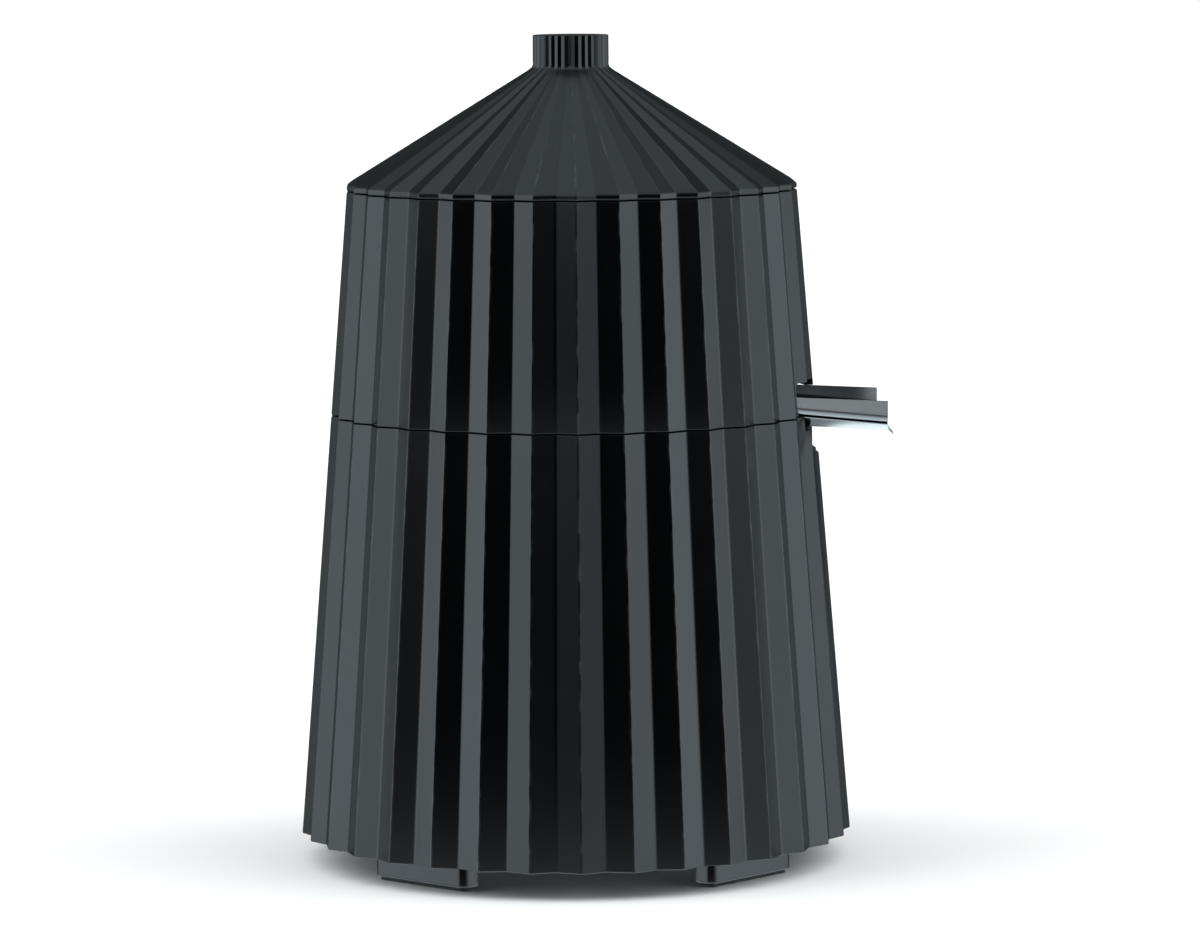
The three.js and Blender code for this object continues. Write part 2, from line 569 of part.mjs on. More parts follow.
function strainer() {
  const floor = BOWL_STEP_Z + GAP;
  const { hub, radius, sheet, hubTop, rimTop } = STRAINER;
  const tray = turned([[hub, floor], [radius, floor], [radius, rimTop], [radius - sheet, rimTop],
    [radius - sheet, floor + sheet], [hub + sheet, floor + sheet], [hub + sheet, hubTop],
    [hub, hubTop]], ROUND);
  const slot = box([STRAINER.slotFrom, -STRAINER.slotHalfWidth, floor - THROUGH],
    [STRAINER.slotTo, STRAINER.slotHalfWidth, floor + THROUGH]);
  const slots = Array.from({ length: STRAINER.slots },
    (_, i) => slot.rotate([0, 0, (i + 0.5) * 360 / STRAINER.slots]));
  return tray.subtract(unite(slots));
}

// Fluted dome for the fruit, hollow below, with a hexagonal socket on its axis.
function reamer() {
  const { base, flange, bottom, hub, ridges, valley, height } = REAMER;
  const dome = [0, 0.25, 0.5, 0.72, 0.88, 0.97].map((share) => pleatedRing(
    REAMER.dome * Math.cos(share * Math.PI / 2) ** 0.8, base - 1 + height * share, ridges, valley));
  const skirt = turned([[20, base - 2.4], [flange - 1.8, base - 2.4], [flange - 1.8, bottom],
    [flange, bottom], [flange, base], [20, base]], ROUND);
  const hollow = cylinder(22.6, base - 4, base + 26, 40, 9);
  const core = cylinder(hub, base - 2.4, base + 30, 32);
  const socket = cylinder(SPINDLE.radius + GAP, base - 4, SPINDLE.top + 0.5, 6);
  return loft(dome).add(skirt).subtract(hollow).add(core).subtract(socket);
}

// ---------------------------------------------------------------- spout

// Cross-section of the trough at a distance along X: outer skin, then inner skin back.
function spoutSection(x, top, crease, floor) {
  const { halfWidth, shoulder, floorHalfWidth, sheet } = SPOUT;
  const neck = halfWidth - shoulder;
  const outer = [[halfWidth, top], [halfWidth, crease], [neck, crease - 0.3],
    [neck, crease - 0.9], [floorHalfWidth, floor]];
  const inner = [[floorHalfWidth - 0.6, floor + sheet], [neck - sheet, crease - 0.5],
    [neck - sheet, crease + 0.8], [halfWidth - sheet, crease + 1.1], [halfWidth - sheet, top]];
  const right = [...outer].map(([y, z]) => new THREE.Vector3(x, y, z));
  const left = [...outer].reverse().map(([y, z]) => new THREE.Vector3(x, -y, z));
  const innerLeft = [...inner].reverse().map(([y, z]) => new THREE.Vector3(x, -y, z));
  const innerRight = [...inner].map(([y, z]) => new THREE.Vector3(x, y, z));
  return [...right, ...left, ...innerLeft, ...innerRight];
}

// Heights of the trough's lines fall evenly from the casing to the outer end.
function spoutAt(x) {
  const share = (x - SPOUT.bodyX) / (SPOUT.outerX - SPOUT.bodyX);
  const [top, crease, floor] = ['wallTop', 'crease', 'floor'].map(
    (line) => SPOUT[line][0] + share * (SPOUT[line][1] - SPOUT[line][0]));
  return spoutSection(x, top, crease, floor);
}

function spoutLip() {
  const { outerX, tipX, floorHalfWidth } = SPOUT;
  const width = floorHalfWidth - 1;
  const profile = [[outerX - 1, 140.9], [outerX, 140.7], [tipX, 139.3], [tipX, 140.1],
    [outerX, 141.6], [outerX - 1, 141.7]];
  const sides = [-width, width].map((y) => profile.map(([x, z]) => new THREE.Vector3(x, y, z)));
  return loft(sides, ['x', 'z']);
}

const crossPin = (radius, length) => solid(
  new THREE.CylinderGeometry(radius, radius, length, 24));

function spout() {
  const { innerX, outerX, pivotX, pivotZ, pinRadius, halfWidth } = SPOUT;
  const trough = loft([spoutAt(innerX), spoutAt(outerX)], ['y', 'z']);
  const endWall = box([innerX, -SPOUT.floorHalfWidth, 144.5], [innerX + 1, SPOUT.floorHalfWidth, 152.5]);
  const pinHoles = crossPin(pinRadius + RUNNING, 4 * halfWidth).translate([pivotX, 0, pivotZ]);
  return trough.add(endWall).add(spoutLip()).subtract(pinHoles);
}

// Bracket over the spout whose two ears hold the pivot pins.
function spoutBracket() {
  const { pivotX, pivotZ, pinRadius, halfWidth } = SPOUT;
  const inside = halfWidth + 0.5;
  const outside = inside + 2.4;
  const bridge = box([pivotX - 4, -outside, 155.8], [pivotX + 4, outside, 158]);
  const ears = [-1, 1].map((side) => {
    const [near, far] = [inside * side, outside * side].sort((a, b) => a - b);
    return box([pivotX - 4, near, pivotZ - 4], [pivotX + 4, far, 156.5]);
  });
  const bores = crossPin(pinRadius + RUNNING, 4 * halfWidth).translate([pivotX, 0, pivotZ]);
  return unite([bridge, ...ears]).subtract(bores);
}

function spoutPin(side) {
  const { pivotX, pivotZ, pinRadius, halfWidth } = SPOUT;
  return crossPin(pinRadius, 5.2).translate([pivotX, side * (halfWidth + 0.7), pivotZ]);
}

// ---------------------------------------------------------------- lid

function lid() {
  const bottom = LID_SEAM.z + GAP / 2;
  const { inward, spigotInner, spigotOuter, spigotDepth } = LID;
  const outside = pleated([
    [LID_SEAM.ridge, bottom], [LID_SEAM.ridge, LID_RIM_TOP_Z], [CONE_TOP.ridge, CONE_TOP.z],
    [NECK.ridge, CONE_TOP.z + 0.3], [NECK.ridge, NECK.z],
  ]);
  const shelf = LID_RIM_TOP_Z + 0.3;
  const hollow = pleated([
    [LID_SEAM.ridge - inward, shelf], [CONE_TOP.ridge - inward, CONE_TOP.z - 2],
    [CONE_TOP.ridge - inward, NECK.z - 2.5],
  ]);
  const mouth = cylinder(spigotInner, bottom - THROUGH, shelf + 0.2, ROUND);
  const spigot = cylinder(spigotOuter, bottom - spigotDepth, shelf - 1, ROUND)
    .subtract(cylinder(spigotInner, bottom - spigotDepth - THROUGH, shelf + 1, ROUND));
  return outside.subtract(hollow).subtract(mouth).add(spigot);
}

// ---------------------------------------------------------------- assembly

const squeezer = new THREE.Group();

function addPart(name, body, finish) {
  const mesh = new THREE.Mesh(geometryOf(body), new THREE.MeshStandardMaterial(finish));
  mesh.name = name;
  squeezer.add(mesh);
}

function addBase() {
  addPart('base_housing', baseHousing(), charcoal);
  addPart('bottom_plate', bottomPlate(), blackPlastic);
  footAngles.forEach((angle, i) => {
    addPart(`foot_${i + 1}`, atFoot(foot(), angle), charcoal);
    addPart(`foot_pad_${i + 1}`, atFoot(footPad(), angle), rubber);
  });
  plateScrewAngles.forEach((angle, i) => {
    const place = polar(PLATE_SCREW_RADIUS, angle);
    addPart(`bottom_screw_${i + 1}`, moved(screw(3.4, 1.8, 12), place, PLATE.bottom + 2), plainSteel);
  });
  addPart('cord_gland', cordGland(), rubber);
  addPart('terminal_block', terminalBlock(), greyPlastic);
  addPart('capacitor', capacitor(), greyPlastic);
}

function addDrive() {
  addPart('gear_frame', gearFrame(), blackPlastic);
  FRAME_POST_ANGLES.forEach((angle, i) => {
    const place = polar(FRAME_POST_RADIUS, angle);
    addPart(`frame_screw_${i + 1}`, moved(screw(3.6, 2.2, 14), place, FRAME.bottom - GAP), plainSteel);
  });
  addPart('lower_bush', bush(FRAME.bottom - GAP, FRAME.top + 1.5, 6.9), bronze);
  addPart('upper_bush', bush(158, COLLAR.top - 4 - GAP, COLLAR.bore - GAP), bronze);
  addPart('spindle_seal', lipSeal(), rubber);
  addPart('drive_spindle', driveSpindle(), plainSteel);
  addPart('output_gear', outputGear(), gearNylon);
  addPart('idler_gear', idlerGear(), gearNylon);
  addPart('idler_axle', idlerAxle(), plainSteel);
  addPart('plunger_guide', plungerGuide(), blackPlastic);
  addPart('switch_plunger', plunger(), gearNylon);
  addPart('return_spring', returnSpring(), plainSteel);
  addPart('micro_switch', microSwitch(), switchRed);
  addPart('switch_lever', switchLever(), plainSteel);
}

function addMotor() {
  addPart('motor_can', motorCan(), plainSteel);
  addPart('motor_end_bell', motorEndBell(), plainSteel);
  addPart('motor_stator', motorStator(), copper);
  addPart('motor_rotor', motorRotor(), plainSteel);
  addPart('motor_pinion', motorPinion(), bronze);
  [-1, 1].forEach((side, i) => {
    const turnedOver = screw(3.2, 2, 5.5).rotate([180, 0, 0]);
    addPart(`motor_screw_${i + 1}`, moved(turnedOver, motorScrewPoint(side), FRAME.top + GAP), plainSteel);
  });
}

function addBowlUnit() {
  addPart('upper_housing', upperHousing(), charcoal);
  addPart('juice_bowl', juiceBowl(), smokePlastic);
  addPart('strainer', strainer(), smokePlastic);
  addPart('spout_bracket', spoutBracket(), blackPlastic);
  addPart('spout_pin_left', spoutPin(1), plainSteel);
  addPart('spout_pin_right', spoutPin(-1), plainSteel);
  addPart('spout', spout(), satinSteel);
  addPart('reamer', reamer(), smokePlastic);
  addPart('lid', lid(), charcoal);
}

addBase();
addDrive();
addMotor();
addBowlUnit();

// The frame's origin is the middle of the object's box, on the ground.
squeezer.position.x = (SKIRT.ridge - SPOUT.tipX) / 2;

export default squeezer;
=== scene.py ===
"""Electric citrus squeezer with a pleated casing, a steel pouring spout and a conical lid."""
import json
import math

import bmesh
import bpy
from mathutils import Matrix, Vector


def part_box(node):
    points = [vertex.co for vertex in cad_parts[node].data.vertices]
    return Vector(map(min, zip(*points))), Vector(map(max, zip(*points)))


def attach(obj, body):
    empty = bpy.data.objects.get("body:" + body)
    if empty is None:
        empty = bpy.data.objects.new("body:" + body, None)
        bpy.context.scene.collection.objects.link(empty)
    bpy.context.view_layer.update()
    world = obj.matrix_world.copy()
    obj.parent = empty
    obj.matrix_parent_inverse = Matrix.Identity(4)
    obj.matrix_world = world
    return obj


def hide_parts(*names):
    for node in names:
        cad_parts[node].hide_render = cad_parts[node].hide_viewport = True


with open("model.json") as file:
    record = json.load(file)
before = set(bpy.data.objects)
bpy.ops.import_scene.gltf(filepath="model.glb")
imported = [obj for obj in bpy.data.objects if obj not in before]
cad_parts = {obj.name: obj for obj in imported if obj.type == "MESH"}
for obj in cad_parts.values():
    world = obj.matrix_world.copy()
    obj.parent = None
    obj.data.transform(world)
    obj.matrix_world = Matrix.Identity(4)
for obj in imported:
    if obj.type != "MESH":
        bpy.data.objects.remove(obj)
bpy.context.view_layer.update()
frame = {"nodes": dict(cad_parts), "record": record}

# ---------------------------------------------------------------- dimensions, in millimetres
# The casing's own axis is at x = 0 here; to_object moves it to where the frame has it.

MM = 0.001
WELD_DISTANCE = 1e-7             # in metres; closer points become one
SHARP_DEGREES = 35               # edges that bend more than this stay sharp
SOFTENED_DEGREES = 40            # and those that bend more than this can be rounded
ROUND_SEGMENTS, SMALL_SEGMENTS = 144, 48
AXIS_X = sum(corner.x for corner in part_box("drive_spindle")) / 2

PLEATS = 34                      # with a valley on the X axis, where the spout is
VALLEY = 0.9675                  # valley radius over ridge radius
RIDGE_ROUNDING = 0.0042          # radius of the ridge edge, over the ridge radius
VALLEY_ROUNDING = 0.02
WALL = 2.6
EDGE = 0.45                      # rounding of the casing's cut edges
EDGE_MIDDLE = EDGE * 0.3         # how far in the middle ring of a rounded edge lies
PLEAT_SUPPORT = 0.006            # length of the flat's end strips, over the ridge radius
RIDGE_SHARES, VALLEY_SHARES = (0, 0.5, 1), (0, 0.33, 0.67, 1)   # points along each rounding
GAP = 0.3                        # clearance between two pieces
OVERRUN = 2                      # how far a cutter reaches past what it cuts
OVERLAP = 1                      # how far a joined solid reaches into what it joins

SKIRT_Z, SKIRT_RIDGE = 9.0, 90.0
BOWL_SEAM_Z = 146.0
LID_SEAM_Z, LID_RIDGE = 218.6, 73.2
SEAM_HALF = 0.15
LID_RIM_TOP_Z = 220.6
CONE_TOP_Z, CONE_TOP_RIDGE = 257.4, 13.4
NECK_TOP_Z, NECK_RIDGE = 268.5, 12.3

LID_WALL, NECK_CAP, CONE_CAP, CONE_START = 3.2, 2.5, 2.0, 2.0
# Corners of the lid: (inward, up) at the top of its rim, (outward, up) at its cone and neck.
LID_RIM_CORNER = ((0.0, -0.5), (0.15, -0.1), (0.6, 0.22))
CONE_FILLET = ((0.9, -0.55), (0.0, 0.1))
NECK_FILLET = ((0.35, 0.7), (0.05, 1.6))
NECK_CORNER = ((0.0, -0.3), (-0.1, -0.08), (-0.35, 0.0))
LID_SPIGOT_INNER, LID_SPIGOT_OUTER, LID_SPIGOT_DEPTH, LID_SPIGOT_EDGE = 64.8, 67.6, 5.7, 0.4

DECK_BOTTOM_Z, DECK_TOP_Z = 136.0, 139.0
COLLAR_RADIUS, COLLAR_BORE, COLLAR_TOP_Z = 9.3, 6.5, 176.0
COLLAR_FILLET, COLLAR_FILLET_MIDDLE, COLLAR_EDGE = 1.5, 0.4, 0.5
BOSS_RADIUS, BOSS_HOLE, BOSS_BOTTOM_Z, BOSS_TOP_Z, BOSS_DISTANCE = 4.5, 1.9, 14.3, 40.0, 77.0
BOSS_ANGLES, BOSS_SOLID = (0, 90, 180, 270), 12.0
RIB_TO_RIDGE, RIB_TO_VALLEY, RIB_HALF_WIDTH = 9.0, 6.9, 1.5
POST_RADIUS, POST_BOTTOM_Z, POST_DISTANCE, POST_ANGLES = 4.2, 99.3, 60.0, (40, 195, 290)
POST_HOLE = 16.0
RECESS_X, RECESS_BOTTOM_Z, RECESS_DROP = 77.4, 134.1, 7.6
NOTCH_HALF_WIDTH, NOTCH_BOTTOM_Z, NOTCH_REACH = 24.2, 141.2, 12.0

WEB_THICKNESS = 3.0
WEB_TOP_Z, SPIGOT_INNER, SPIGOT_OUTER, SPIGOT_BOTTOM_Z = 150.0, 70.6, 73.2, 141.5
WINDOW_HALF_WIDTH, WINDOW_TOP_Z, WINDOW_CORNER, WINDOW_INNER_X = 26.7, 156.8, 2.0, 50.0
TONGUE_HALF_WIDTH, TONGUE_Z, TONGUE_CORNER = 7.4, 154.6, 0.6
MOUTH_RADIUS, LEDGE_RADIUS, RIM_Z, LEDGE_BOTTOM_Z = 68.0, 63.5, 209.0, 205.0

FOOT_LENGTH, FOOT_DEPTH, FOOT_FACE, FOOT_BOTTOM_Z, FOOT_TOP_Z = 39.0, 9.0, 77.6, 1.3, 9.7
FOOT_CORNER, FOOT_ROUNDING, FOOT_ANGLES = 3.0, 0.9, (-131.5, -44.5, 48.5, 135.5)
PAD_INSET, PAD_TOP_Z, PAD_POCKET_Z, PAD_GAP = 1.3, 2.5, 2.8, 0.3
PAD_PROFILE = ((0.5, 0.0), (0.15, 0.12), (0.0, 0.45), (0.0, PAD_TOP_Z - 0.3), (0.3, PAD_TOP_Z))
SMALLEST_CORNER, POCKET_EDGE, FOOT_ARC = 0.6, 0.2, range(0, 91, 15)
PEG_RADIUS, PEG_TOP_Z, PEG_EDGE = 3.0, 14.0, 0.4

SPOUT_INNER_X, SPOUT_BODY_X, SPOUT_OUTER_X, SPOUT_TIP_X = 44.0, 77.0, 101.0, 103.0
SPOUT_SHEET, SPOUT_HALF_WIDTH, SPOUT_FLOOR_HALF_WIDTH = 1.0, 24.4, 19.5
SPOUT_GROOVE_DEPTH, SPOUT_GROOVE_HEIGHT, SPOUT_SHOULDER = 1.5, 0.6, 0.9
SPOUT_CURL_HEIGHT, SPOUT_CURL_DEPTH = 1.7, 0.3
SPOUT_TOP_Z = (151.8, 150.7)     # at the casing and at the outer end
SPOUT_CREASE_Z = (146.3, 144.0)
SPOUT_FLOOR_Z = (142.2, 140.7)
SPOUT_LIP_DROP, SPOUT_LIP_STEPS = 1.4, (0.25, 0.5, 0.75, 1)
# Small steps at the groove's roof, and of the sheet's inner line against its outer one.
SPOUT_SLACK, INNER_CURL_RISE, INNER_CURL_STEP = 0.1, 0.4, 0.2
INNER_GROOVE_STEP, INNER_FLOOR_STEP = 0.3, 0.6
SPOUT_OUTER_BENDS = (6, 0.2, 0.1, 0.1, 0.25, 1.4)
SPOUT_INNER_BENDS = (6, 0.1, 0.3, 0.2, 0.1, 0.8)
SPOUT_ROWS, SPOUT_SHARP_DEGREES, SPOUT_SOFTENING = 12, 30, 0.14
END_WALL_WIDTH, END_WALL_LIFT = 0.985, 0.3      # against the trough's outer line
GROOVE_SHADE_REACH, GROOVE_SHADE_OVER = 0.25, 0.2           # how near the groove's bottom the steel gets painted shade

BOWL_STEP, BOWL_STEP_DROP, BOWL_CORNER, BOWL_SOFTENING = 3.4, 6.0, 1.6, 0.4
BOWL_INNER, BOWL_OUTER, BOWL_FLANGE, BOWL_STEP_Z, BOWL_TOP_Z = 60.8, 63.2, 67.4, 175.0, 211.5
BOWL_FLOOR_BOTTOM_Z, BOWL_FLOOR_TOP_Z, BOWL_FLOOR_RADIUS = 158.4, 161.0, 55.0
CHIMNEY_BORE, CHIMNEY_OUTER, CHIMNEY_TOP_Z, CHIMNEY_FLARE = 9.8, 12.4, 183.5, 2
NOZZLE_X, NOZZLE_RADIUS, NOZZLE_BORE, NOZZLE_BOTTOM_Z = 50.0, 5.2, 3.8, 152.6
TRAY_HUB, TRAY_RADIUS, TRAY_SHEET, TRAY_FLOOR_Z = 27.5, 60.2, 1.6, 175.3
TRAY_HUB_TOP_Z, TRAY_RIM_TOP_Z, TRAY_SLOTS, TRAY_SLOT = 184.0, 181.0, 30, (33.0, 53.0)
TRAY_SLOT_HALF_WIDTH, TRAY_SOFTENING = 1.1, 0.25
REAMER_BASE_Z, REAMER_HEIGHT, REAMER_RADIUS, REAMER_RIDGES = 190.0, 50.0, 28.5, 12
REAMER_FLANGE, REAMER_BOTTOM_Z, REAMER_HUB, REAMER_SOCKET = 33.0, 185.6, 7.5, 4.3
REAMER_SOCKET_TOP_Z, REAMER_HOLLOW, REAMER_HOLLOW_TOP_Z = 206.5, (22.6, 9.0), 216.0
REAMER_ROWS, REAMER_TIP, REAMER_FULLNESS, REAMER_FLUTE, REAMER_SINK = 16, 0.985, 0.8, 0.16, 1
REAMER_PLATE, REAMER_LIP, REAMER_EDGE, REAMER_FINE_EDGE = 2.4, 1.8, 0.6, 0.3

# ---------------------------------------------------------------- camera, made first

CAMERA_PLACE = Vector((-0.04105, -1.79967, 0.3184))
CAMERA_YAW, CAMERA_PITCH, CAMERA_ROLL = (math.radians(a) for a in (1.375, 6.06, -0.37))
CAMERA_LENS, CAMERA_SENSOR = 166.3, 36.0


def make_camera():
    """Long lens in front of the object, a little above it and looking slightly down."""
    data = bpy.data.cameras.new("photo_camera")
    data.lens = CAMERA_LENS
    data.sensor_width = CAMERA_SENSOR
    camera = bpy.data.objects.new("photo_camera", data)
    bpy.context.scene.collection.objects.link(camera)
    forward = Vector((math.sin(CAMERA_YAW) * math.cos(CAMERA_PITCH),
                      math.cos(CAMERA_YAW) * math.cos(CAMERA_PITCH), -math.sin(CAMERA_PITCH)))
    level_right = Vector((math.cos(CAMERA_YAW), -math.sin(CAMERA_YAW), 0))
    level_up = level_right.cross(forward)
    right = math.cos(CAMERA_ROLL) * level_right + math.sin(CAMERA_ROLL) * level_up
    up = math.cos(CAMERA_ROLL) * level_up - math.sin(CAMERA_ROLL) * level_right
    turn = Matrix((right, up, -forward)).transposed().to_4x4()
    camera.matrix_world = Matrix.Translation(CAMERA_PLACE) @ turn
    bpy.context.scene.camera = camera


make_camera()

# ---------------------------------------------------------------- mesh helpers


def to_object(name, vertices, faces, sharp_degrees=SHARP_DEGREES):
    """An object from millimetre points about the casing's axis, with its normals outward."""
    mesh = bpy.data.meshes.new(name)
    mesh.from_pydata([(x * MM + AXIS_X, y * MM, z * MM) for x, y, z in vertices], [], faces)
    shaped = bmesh.new()
    shaped.from_mesh(mesh)
    bmesh.ops.remove_doubles(shaped, verts=shaped.verts, dist=WELD_DISTANCE)
    bmesh.ops.recalc_face_normals(shaped, faces=shaped.faces)
    shaped.to_mesh(mesh)
    shaped.free()
    obj = bpy.data.objects.new(name, mesh)
    bpy.context.scene.collection.objects.link(obj)
    smooth(obj, sharp_degrees)
    return obj


def smooth(obj, sharp_degrees=SHARP_DEGREES):
    """Shades a piece smooth between its sharp edges."""
    obj.data.shade_smooth()
    obj.data.set_sharp_from_angle(angle=math.radians(sharp_degrees))


def loft(name, rings, ends="fan", sharp_degrees=SHARP_DEGREES):
    """Skin through rings of equal point count. Its ends meet ("loop"), or are closed by a fan
    about their middle ("fan"), or by a strip between the two halves of a ring ("strip")."""
    count = len(rings[0])
    vertices = [point for ring in rings for point in ring]
    faces = []
    levels = len(rings) if ends == "loop" else len(rings) - 1
    for level in range(levels):
        low, high = level * count, (level + 1) % len(rings) * count
        for i in range(count):
            j = (i + 1) % count
            faces.append((low + i, low + j, high + j, high + i))
    for start, ring in ((0, rings[0]), ((len(rings) - 1) * count, rings[-1])):
        if ends == "fan":
            centre = sum((Vector(point) for point in ring), Vector()) / count
            vertices.append(tuple(centre))
            faces += [(start + i, start + (i + 1) % count, len(vertices) - 1) for i in range(count)]
        if ends == "strip":
            faces += [(start + i, start + i + 1, start + count - 2 - i, start + count - 1 - i)
                      for i in range(count // 2 - 1)]
    return to_object(name, vertices, faces, sharp_degrees)


def lathe(name, outline, segments=ROUND_SEGMENTS):
    """Solid of revolution from a closed outline of (radius, z) points."""
    angles = [2 * math.pi * i / segments for i in range(segments)]
    rings = [[(r * math.cos(a), r * math.sin(a), z) for a in angles] for r, z in outline]
    return loft(name, rings, ends="loop")


def cylinder(name, radius, bottom, top, x, segments=SMALL_SEGMENTS):
    """Upright cylinder that stands at x from the casing's axis."""
    angles = [2 * math.pi * i / segments for i in range(segments)]
    rings = [[(x + radius * math.cos(a), radius * math.sin(a), z) for a in angles]
             for z in (bottom, top)]
    return loft(name, rings)


def prism(name, outline, low, high, axis):
    """Outline of points in the other two axes, pulled out along one axis."""
    def place(value, a, b):
        return (value, a, b) if axis == "x" else (a, value, b)
    return loft(name, [[place(value, a, b) for a, b in outline] for value in (low, high)])


def turn(obj, degrees):
    """Turns an object's mesh about the casing's axis."""
    centre = Matrix.Translation((AXIS_X, 0, 0))
    obj.data.transform(centre @ Matrix.Rotation(math.radians(degrees), 4, "Z") @ centre.inverted())
    return obj


def combine(target, tool, operation):
    """Boolean of two solids; the tool is used up."""
    modifier = target.modifiers.new(operation, "BOOLEAN")
    modifier.operation = operation
    modifier.object = tool
    modifier.solver = "EXACT"
    result = target.evaluated_get(bpy.context.evaluated_depsgraph_get())
    mesh = bpy.data.meshes.new_from_object(result)
    target.modifiers.clear()
    target.data = mesh
    bpy.data.objects.remove(tool)
    return target


def cut(target, tool):
    return combine(target, tool, "DIFFERENCE")


def join(target, tool):
    return combine(target, tool, "UNION")


def soften(obj, width, segments=3):
    """Rounds the sharp edges of a piece."""
    bevel = obj.modifiers.new("soften", "BEVEL")
    bevel.width = width * MM
    bevel.segments = segments
    bevel.limit_method = "ANGLE"
    bevel.angle_limit = math.radians(SOFTENED_DEGREES)
    return obj


def rounded(points, radii, steps=4):
    """Open line with its inner corners rounded; radii has one entry for each inner corner."""
    line = [Vector(points[0])]
    for i, radius in enumerate(radii, start=1):
        before, corner, after = (Vector(points[k]) for k in (i - 1, i, i + 1))
        inward, outward = (before - corner).normalized(), (after - corner).normalized()
        half = inward.angle(outward) / 2
        reach = radius / math.tan(half)
        start, end = corner + inward * reach, corner + outward * reach
        for step in range(steps + 1):
            share = step / steps
            line.append(start.lerp(corner, share).lerp(corner.lerp(end, share), share))
    line.append(Vector(points[-1]))
    return line


# ---------------------------------------------------------------- pleats


def pleat_half():
    """Half a pleat from ridge to valley, for a ridge radius of 1: rounded edge, flat, fillet."""
    step = math.pi / PLEATS
    valley = Vector((VALLEY * math.cos(step), VALLEY * math.sin(step)))
    along = (valley - Vector((1, 0))).normalized()
    lean = math.atan2(-along.x, along.y)
    ridge_centre = Vector((1 - RIDGE_ROUNDING / math.cos(lean), 0))
    outward = Vector((math.cos(step), math.sin(step)))
    valley_centre = valley + outward * (VALLEY_ROUNDING / math.cos(lean - step))
    ridge_arc = [ridge_centre + RIDGE_ROUNDING * Vector((math.cos(lean * s), math.sin(lean * s)))
                 for s in RIDGE_SHARES]
    valley_arc = []
    for share in VALLEY_SHARES:
        angle = lean + (step - lean) * share
        valley_arc.append(valley_centre - VALLEY_ROUNDING * Vector((math.cos(angle), math.sin(angle))))
    strip = along * PLEAT_SUPPORT
    return [*ridge_arc, ridge_arc[-1] + strip, valley_arc[0] - strip, *valley_arc]


def unit_ring():
    """(angle, radius) of every point of a pleated ring with a ridge radius of 1."""
    half = [(math.atan2(point.y, point.x), point.length) for point in pleat_half()]
    mirrored = [(-angle, radius) for angle, radius in reversed(half[1:-1])]
    one = mirrored + half
    turns = [2 * math.pi * (i + 0.5) / PLEATS for i in range(PLEATS)]
    return [(turned_by + angle, radius) for turned_by in turns for angle, radius in one]


UNIT_RING = unit_ring()


def pleated(ridge, z):
    """Pleated ring with the given ridge radius."""
    return [(ridge * r * math.cos(a), ridge * r * math.sin(a), z) for a, r in UNIT_RING]


def circle(radius, z):
    """Round ring with as many points as a pleated one."""
    return [(radius * math.cos(a), radius * math.sin(a), z) for a, _ in UNIT_RING]


def ridge_at(z):
    """Ridge radius of the casing, which narrows evenly from the skirt to the lid."""
    share = (z - SKIRT_Z) / (LID_SEAM_Z - SKIRT_Z)
    return SKIRT_RIDGE + share * (LID_RIDGE - SKIRT_RIDGE)


def edge_up(bottom, inward=0.0):
    """Rings of a rounded lower edge of the casing's outside."""
    return [pleated(ridge_at(bottom) - inward - EDGE, bottom),
            pleated(ridge_at(bottom) - inward - EDGE_MIDDLE, bottom + EDGE_MIDDLE),
            pleated(ridge_at(bottom + EDGE) - inward, bottom + EDGE)]


def edge_over(top):
    """Rings of a rounded upper edge of the casing's outside."""
    return [pleated(ridge_at(top - EDGE), top - EDGE),
            pleated(ridge_at(top) - EDGE_MIDDLE, top - EDGE_MIDDLE),
            pleated(ridge_at(top) - EDGE, top)]


def mark_ridges(obj):
    """Stores which points lie on a ridge, for the wear in the finish."""
    step = 2 * math.pi / PLEATS
    marks = obj.data.attributes.new("ridge", "FLOAT", "POINT")
    for vertex, mark in zip(obj.data.vertices, marks.data):
        angle = math.atan2(vertex.co.y, vertex.co.x - AXIS_X)
        mark.value = float(abs(angle % step - step / 2) < RIDGE_ROUNDING)
    return obj


# ---------------------------------------------------------------- casing pieces


def base_housing():
    """Pleated skirt with the deck and collar that carry the bowl unit."""
    top = BOWL_SEAM_Z - SEAM_HALF
    inner = [pleated(ridge_at(z) - WALL, z) for z in (DECK_BOTTOM_Z, SKIRT_Z)]
    rings = [*edge_up(SKIRT_Z), *edge_over(top), pleated(ridge_at(top) - WALL, top),
             pleated(ridge_at(DECK_TOP_Z) - WALL, DECK_TOP_Z),
             circle(COLLAR_RADIUS + COLLAR_FILLET, DECK_TOP_Z),
             circle(COLLAR_RADIUS + COLLAR_FILLET_MIDDLE, DECK_TOP_Z + COLLAR_FILLET_MIDDLE),
             circle(COLLAR_RADIUS, DECK_TOP_Z + COLLAR_FILLET),
             circle(COLLAR_RADIUS, COLLAR_TOP_Z - COLLAR_EDGE),
             circle(COLLAR_RADIUS - COLLAR_EDGE, COLLAR_TOP_Z),
             circle(COLLAR_BORE, COLLAR_TOP_Z), circle(COLLAR_BORE, DECK_BOTTOM_Z), *inner]
    body = loft("pleated_base", rings, ends="loop")
    for angle in BOSS_ANGLES:
        faces_valley = angle % 180 == 0
        join(body, turn(screw_boss(RIB_TO_VALLEY if faces_valley else RIB_TO_RIDGE), angle))
    for angle in POST_ANGLES:
        join(body, turn(cylinder("post", POST_RADIUS, POST_BOTTOM_Z, DECK_BOTTOM_Z + OVERLAP,
                                 x=POST_DISTANCE), angle))
        cut(body, turn(cylinder("post_hole", BOSS_HOLE, POST_BOTTOM_Z - OVERRUN,
                                POST_BOTTOM_Z + POST_HOLE, x=POST_DISTANCE), angle))
    cut(body, spout_notch())
    smooth(body)
    return mark_ridges(body)


